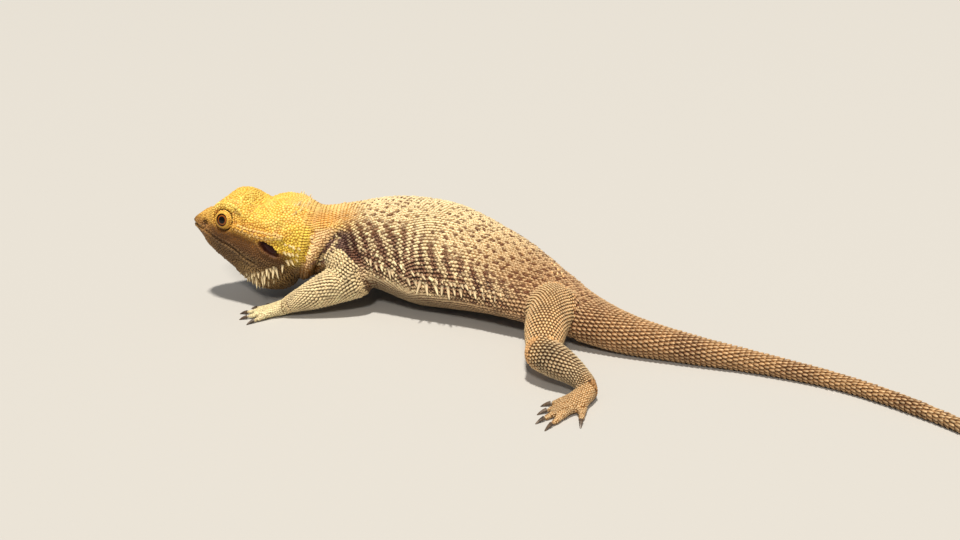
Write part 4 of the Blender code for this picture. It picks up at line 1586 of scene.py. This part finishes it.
def spine_row(surface, coat, line, spacing, length, width, lean, side):
    """Spines along a line of (place, degrees round the section) on one side of the body.

    The lean gives the shares of tailward, downward and outward in the way they point.
    """
    dense = np.linspace(0, len(line) - 1, 200)
    places, angles = (np.interp(dense, np.arange(len(line)), column) for column in np.array(line, float).T)
    turned = np.radians(angles if side > 0 else 180 - angles)
    points = BODY_TUBE.surface(places, turned)[0]
    steps = np.concatenate([[0], np.cumsum(norms(np.diff(points, axis=0)))])
    at = np.arange(spacing / 2, steps[-1], spacing)
    at = np.clip(at + RANDOM.normal(0, 0.16, len(at)) * spacing, 0, steps[-1])
    places = np.interp(at, steps, places)
    turned = np.interp(at, steps, turned)
    points, _, tangent = BODY_TUBE.surface(places, turned)
    spots, normals, _ = surface.drop(points)
    swell = np.sin(math.pi * (0.12 + 0.76 * (at / steps[-1])))
    uneven = 1 + 0.24 * RANDOM.normal(0, 1, len(at)).clip(-1.8, 1.4)
    aim = tangent * lean[0] - np.array((0, 0, 1.0)) * lean[1] + normals * lean[2]
    aim = unit(aim + RANDOM.normal(0, 0.13, aim.shape))
    wide = width * (0.6 + 0.4 * swell)
    roots = body_roots(coat, spots, aim, tangent - np.array((0, 0, 0.6)), places, turned, SPINE_SPAN)
    roots.colours[:, 0] = mix(roots.colours[:, 0], PALE, 0.65)
    roots.colours[:, 1] *= 1.6
    roots.colours[:, 2] = CREAM
    coat.add("spine", roots, columns(wide, wide, length * swell * uneven), 0.0, 0.15)


SPINE_ROWS = [
    # line of (place, degrees), spacing, length, width, (tailward, downward, outward)
    ([(8.8, 11), (9.8, 7), (12.0, 5), (14.0, 5), (15.6, 10), (17.2, 19)], 0.33, 0.49, 0.21,
     (0.40, 0.75, 0.70)),
    ([(8.4, 19), (9.8, 16), (12.0, 13), (14.0, 13), (15.6, 18), (17.8, 29)], 0.31, 0.28, 0.18,
     (0.6, 0.4, 0.7)),
    ([(8.4, 30), (11.0, 25), (14.0, 24), (17.4, 37)], 0.40, 0.20, 0.14, (0.8, 0.1, 0.6)),
    ([(3.1, 318), (3.54, 322), (4.03, 329), (4.27, 338), (4.52, 342), (4.9, 346)], 0.25, 0.47, 0.18,
     (0.1, 0.8, 0.7)),
    ([(3.2, 325), (3.7, 330), (4.1, 337), (4.4, 345)], 0.20, 0.30, 0.16, (0.1, 0.7, 0.7)),
    ([(2.7, 308), (3.3, 311), (3.9, 316), (4.4, 324)], 0.24, 0.31, 0.15, (0.0, 0.85, 0.65)),
    ([(2.6, 298), (3.4, 296), (4.1, 300)], 0.26, 0.24, 0.12, (0.1, 0.85, 0.6)),
    ([(4.62, 361), (4.96, 357), (5.35, 357)], 0.21, 0.27, 0.18, (0.5, 0.6, 0.7)),
    ([(4.66, 349), (5.06, 347), (5.35, 350)], 0.23, 0.27, 0.16, (0.4, 0.7, 0.65)),
    ([(4.70, 8), (5.10, 5), (5.4, 5)], 0.19, 0.18, 0.16, (0.6, 0.4, 0.6)),
    ([(5.60, 350), (5.60, 357), (5.65, 368), (5.75, 380), (5.80, 393)], 0.15, 0.23, 0.13, (0.8, 0.2, 0.65)),
    ([(4.92, 50), (5.05, 58), (5.15, 66)], 0.22, 0.20, 0.12, (0.3, -0.5, 0.7)),
    ([(4.90, 66), (5.05, 74), (5.20, 70)], 0.17, 0.26, 0.12, (0.2, -0.8, 0.5)),
    ([(5.20, 76), (5.22, 84), (5.24, 89)], 0.20, 0.22, 0.12, (0.3, -0.7, 0.5)),
]


def coat_spines(surface):
    coat = Coat("spines")
    for row in SPINE_ROWS:
        for side in (1, -1):
            spine_row(surface, coat, *row, side)
    return coat


# ---------------------------------------------------------------- materials

WHITE = (1.0, 1.0, 1.0)
ROUGHNESS_SPREAD = 0.10


def set_inputs(node, **values):
    """Plain values for sockets, each named with _ for a space."""
    for socket, value in values.items():
        node.inputs[socket.replace("_", " ")].default_value = value


def new_material(name, **values):
    """A material with one shader, its plain values set, and its node tree."""
    material = bpy.data.materials.new(name)
    material.use_nodes = True
    shader = material.node_tree.nodes["Principled BSDF"]
    set_inputs(shader, **values)
    return material, material.node_tree, shader


def noise_node(tree, scale, detail=4.0):
    place = tree.nodes.new("ShaderNodeTexCoord")
    noise = tree.nodes.new("ShaderNodeTexNoise")
    set_inputs(noise, Scale=scale, Detail=detail, Roughness=0.6)
    tree.links.new(place.outputs["Object"], noise.inputs["Vector"])
    return noise.outputs["Fac"]


def add_relief(tree, shader, height, strength, distance):
    node = tree.nodes.new("ShaderNodeBump")
    set_inputs(node, Strength=strength, Distance=distance)
    tree.links.new(height, node.inputs["Height"])
    tree.links.new(node.outputs["Normal"], shader.inputs["Normal"])


def ramp_node(tree, value, low, high, span=(0.3, 0.7)):
    ramp = tree.nodes.new("ShaderNodeValToRGB")
    for element, place, colour in zip(ramp.color_ramp.elements, span, (low, high)):
        element.position = place
        element.color = (*colour, 1)
    tree.links.new(value, ramp.inputs[0])
    return ramp.outputs["Color"]


def tint_base(tree, shader, shade):
    """The base colour: the mesh's own tint, darkened by a shade."""
    tint = tree.nodes.new("ShaderNodeAttribute")
    tint.attribute_name = "Tint"
    blend = tree.nodes.new("ShaderNodeMix")
    blend.data_type = "RGBA"
    blend.blend_type = "MULTIPLY"
    set_inputs(blend, Factor=1.0)
    tree.links.new(tint.outputs["Color"], blend.inputs["A"])
    tree.links.new(shade, blend.inputs["B"])
    tree.links.new(blend.outputs["Result"], shader.inputs["Base Color"])


def horny_material(name, roughness, specular, fine, mottle=0.25, bump_strength=0.25):
    """Scale horn: the markings, mottled finely, with a slightly uneven surface."""
    material, tree, shader = new_material(name, Specular_IOR_Level=specular)
    noise = noise_node(tree, fine)
    tint_base(tree, shader, ramp_node(tree, noise, (1 - mottle,) * 3, WHITE))
    rough = tree.nodes.new("ShaderNodeMapRange")
    set_inputs(rough, To_Min=roughness - ROUGHNESS_SPREAD, To_Max=roughness + ROUGHNESS_SPREAD)
    tree.links.new(noise, rough.inputs["Value"])
    tree.links.new(rough.outputs["Result"], shader.inputs["Roughness"])
    add_relief(tree, shader, noise_node(tree, fine * 3), bump_strength, 0.0002)
    return material


def eyeball_material():
    """The eye's own tint, mottled, under a wet coat."""
    material, tree, shader = new_material(
        "eyeball", Roughness=0.55, Specular_IOR_Level=0.05, Coat_Weight=0.45, Coat_Roughness=0.03
    )
    noise = noise_node(tree, 2600.0, 3.0)
    tint_base(tree, shader, ramp_node(tree, noise, (0.62, 0.55, 0.5), WHITE, (0.35, 0.6)))
    return material


def claw_material():
    """Dark horn, a little paler in streaks, with a soft gloss."""
    material, tree, shader = new_material("claw_horn", Roughness=0.38)
    noise = noise_node(tree, 500.0)
    tone = ramp_node(tree, noise, (0.035, 0.022, 0.014), (0.15, 0.095, 0.055))
    tree.links.new(tone, shader.inputs["Base Color"])
    add_relief(tree, shader, noise, 0.2, 0.0001)
    return material


# ---------------------------------------------------------------- the whole animal

def skin_colours(points, taken):
    """The skin has the colour of the gaps between the scales nearest to it, with painted shade in the ear
    openings, nostrils, mouth groove, lid creases and between the lids.
    """
    index = nearest(tree_of(np.concatenate([roots.spots for roots in taken])), points)[0]
    near = np.concatenate([roots.colours for roots in taken])[index]
    share = 0.12 + 0.18 * smoothstep(-2.0, -1.0, head_local(points)[:, 0])[:, None]
    local = head_mirrored(points)
    ear, near_ear = ear_place(local)
    nostril = norms(local - NOSTRIL)
    colours = painted(
        near[:, 1] * (1 - share) + near[:, 0] * share,
        # Painted shade in the recesses of the ears, nostrils and mouth.
        (RECESS_SHADE, near_ear * smoothstep(1.12, 0.9, ear)),
        (SHADE_DARK, smoothstep(0.25, 0.17, nostril)),
        (SHADE_DARK, bump(distance_to(local, MOUTH)[0], 0.08) * (local[:, 0] > 0.5) * 0.95),
    )
    for side in (1, -1):
        height, radius, opening = eye_place(points, side)
        close = (height > -0.2) & (radius < 0.8)
        colours = painted(
            colours,
            # The lids' own gold, with painted shade in their crease and between them.
            (LID_GOLD, close * smoothstep(0.52, 0.40, radius)),
            (SHADE_DARK, close * bump(radius - LID_CREASE, 0.050) * 0.95),
            (RECESS_SHADE, close * smoothstep(1.10, 1.0, opening)),
        )
    return colours


def flesh_nodes():
    return [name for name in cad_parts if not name.startswith("eye_") and "_claw_" not in name]


def finish_skin(mesh, taken):
    points = mesh_points(mesh)
    add_tint(mesh, skin_colours(points, taken))
    set_points(mesh, placed(points))
    mesh.name = "skin"
    mesh.shade_smooth()
    obj = show("skin", mesh, horny_material("skin", 0.62, 0.3, 900.0, 0.30, 0.35))
    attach(obj, BODY)
    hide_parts(*flesh_nodes())


COATS = [coat_head, coat_neck, coat_trunk, coat_belly, coat_tail, coat_limbs, coat_feet]


def dress():
    skin = make_skin()
    surface = Surface(skin)
    coats = [coat(surface) for coat in COATS]
    fill_bare_skin(surface)
    coats.append(coat_spines(surface))
    horn = horny_material("scale_horn", 0.52, 0.34, 1500.0)
    for coat in coats:
        obj = coat.build(horn)
        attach(obj, BODY)
    finish_skin(skin, surface.taken)


PUPIL = 0.170
IRIS = 0.250
PUPIL_COLOUR = (0.0015, 0.001, 0.001)
IRIS_INNER = (0.34, 0.10, 0.012)
IRIS_OUTER = (0.10, 0.018, 0.005)
IRIS_RIM = (0.05, 0.012, 0.006)
EYE_GAP = 0.012  # between the eyeball and the solid one's outline
EYE_DIP = 0.012  # how far the iris lies behind the eyeball's outline
EYE_SIDES = 64
EYE_DEGREES = np.concatenate([[0], np.linspace(0.0, 40, 30)[1:], np.linspace(43, 180, 26)])


def make_eyeball(side, node, material):
    """A fine eyeball on the solid one's place, its pole on the gaze.

    Dark pupil, orange and gold iris and dark rim, by distance from the gaze.
    """
    outward, ahead, over = eye_axes(side)
    turn = np.linspace(0, 2 * math.pi, EYE_SIDES, endpoint=False)
    centre = box_middle(node) - SHIFT
    radius = EYE_RADIUS - EYE_GAP
    points, distance = [], []
    for angle in np.radians(EYE_DEGREES):
        reach = radius * math.sin(angle)
        dip = -EYE_DIP * smoothstep(IRIS, IRIS * 0.7, reach) if angle < 1 else 0.0
        ring = (centre + outward * (radius * math.cos(angle) + dip)
                + ahead * (reach * np.cos(turn))[:, None] + over * (reach * np.sin(turn))[:, None])
        points.append(ring)
        distance.append(np.full(EYE_SIDES, reach if angle < math.pi / 2 else 1.0))
    points = np.concatenate(points)[EYE_SIDES - 1:]
    points[0] = centre + outward * (radius - EYE_DIP)
    distance = np.concatenate(distance)[EYE_SIDES - 1:]
    faces = [(0, 1 + i, 1 + (i + 1) % EYE_SIDES) for i in range(EYE_SIDES)]
    for a, b, _ in wall(EYE_SIDES, 1, len(EYE_DEGREES) - 2)[::2]:
        faces += [(a, a + EYE_SIDES, b + EYE_SIDES), (a, b + EYE_SIDES, b)]
    mesh = mesh_from(f"eyeball_{node.removeprefix('eye_')}", points, np.array(faces)[:, ::side])
    add_tint(mesh, painted(
        IRIS_INNER,
        (IRIS_OUTER, smoothstep(PUPIL * 1.25, IRIS * 0.95, distance)),
        (IRIS_RIM, smoothstep(IRIS * 0.9, IRIS * 1.05, distance)),
        (PUPIL_COLOUR, smoothstep(PUPIL * 1.08, PUPIL * 0.95, distance)),
    ))
    return show(mesh.name, mesh, material)


def make_eyes():
    material = eyeball_material()
    for side, name in ((1, "eye_left"), (-1, "eye_right")):
        ball = make_eyeball(side, name, material)
        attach(ball, BODY)
        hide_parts(name)


def dress_claws():
    material = claw_material()
    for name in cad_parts:
        if "_claw_" in name:
            mesh = bpy.data.objects[name].data
            mesh.materials.clear()
            mesh.materials.append(material)


# ---------------------------------------------------------------- studio

CAMERA_TURN, CAMERA_RISE, CAMERA_ROLL = math.radians(30), math.radians(20), math.radians(3)
CAMERA_TARGET = (-4.5, -2.0, 1.5)
CAMERA_DISTANCE = 45.5
CAMERA_LENS = 37.5
FLOOR_REACH = 12  # metres
FLOOR_GREY = (0.50, 0.49, 0.47, 1)
SKY = (0.90, 0.95, 1.0, 1)
SKY_STRENGTH = 0.20


def make_camera():
    """The photograph's viewing angle: from the left and behind, a little above."""
    back = np.array([
        math.sin(CAMERA_TURN) * math.cos(CAMERA_RISE),
        -math.cos(CAMERA_TURN) * math.cos(CAMERA_RISE),
        math.sin(CAMERA_RISE),
    ])
    right = np.array([math.cos(CAMERA_TURN), math.sin(CAMERA_TURN), 0])
    up = np.cross(back, right)
    cos, sin = math.cos(CAMERA_ROLL), math.sin(CAMERA_ROLL)
    data = bpy.data.cameras.new("camera")
    data.lens = CAMERA_LENS
    data.sensor_width = 36
    data.clip_start = 0.01
    camera = show("camera", data)
    place = placed(np.array(CAMERA_TARGET) + back * CAMERA_DISTANCE)
    turn = columns(right * cos - up * sin, up * cos + right * sin, back)
    camera.matrix_world = Matrix.Translation(Vector(place)) @ Matrix(turn.tolist()).to_4x4()
    bpy.context.scene.camera = camera


def make_floor():
    mesh = bpy.data.meshes.new("floor")
    corners = [(x * FLOOR_REACH, y * FLOOR_REACH, 0) for x, y in ((-1, -1), (1, -1), (1, 1), (-1, 1))]
    mesh.from_pydata(corners, [], [(0, 1, 2, 3)])
    floor = show("floor", mesh, new_material("floor", Base_Color=FLOOR_GREY, Roughness=0.9)[0])


def add_light(name, energy, place, colour, degrees):
    """A soft sun lamp that shines from this place towards the middle of the animal."""
    light = bpy.data.lights.new(name, "SUN")
    light.energy = energy
    light.color = colour
    light.angle = math.radians(degrees)
    lamp = show(name, light)
    lamp.location = place
    lamp.rotation_euler = Vector(place).to_track_quat("Z", "Y").to_euler()


def make_studio():
    make_floor()
    world = bpy.data.worlds.new("studio")
    world.use_nodes = True
    set_inputs(world.node_tree.nodes["Background"], Color=SKY, Strength=SKY_STRENGTH)
    bpy.context.scene.world = world
    add_light("key", 3.9, (0.10, -0.16, 1.0), (1.0, 0.94, 0.84), 5)
    add_light("warm", 1.2, (0.25, -0.45, 0.45), (1.0, 0.92, 0.82), 8)
    bpy.context.scene.view_settings.view_transform = "Standard"
    make_camera()


dress()
make_eyes()
dress_claws()
make_studio()
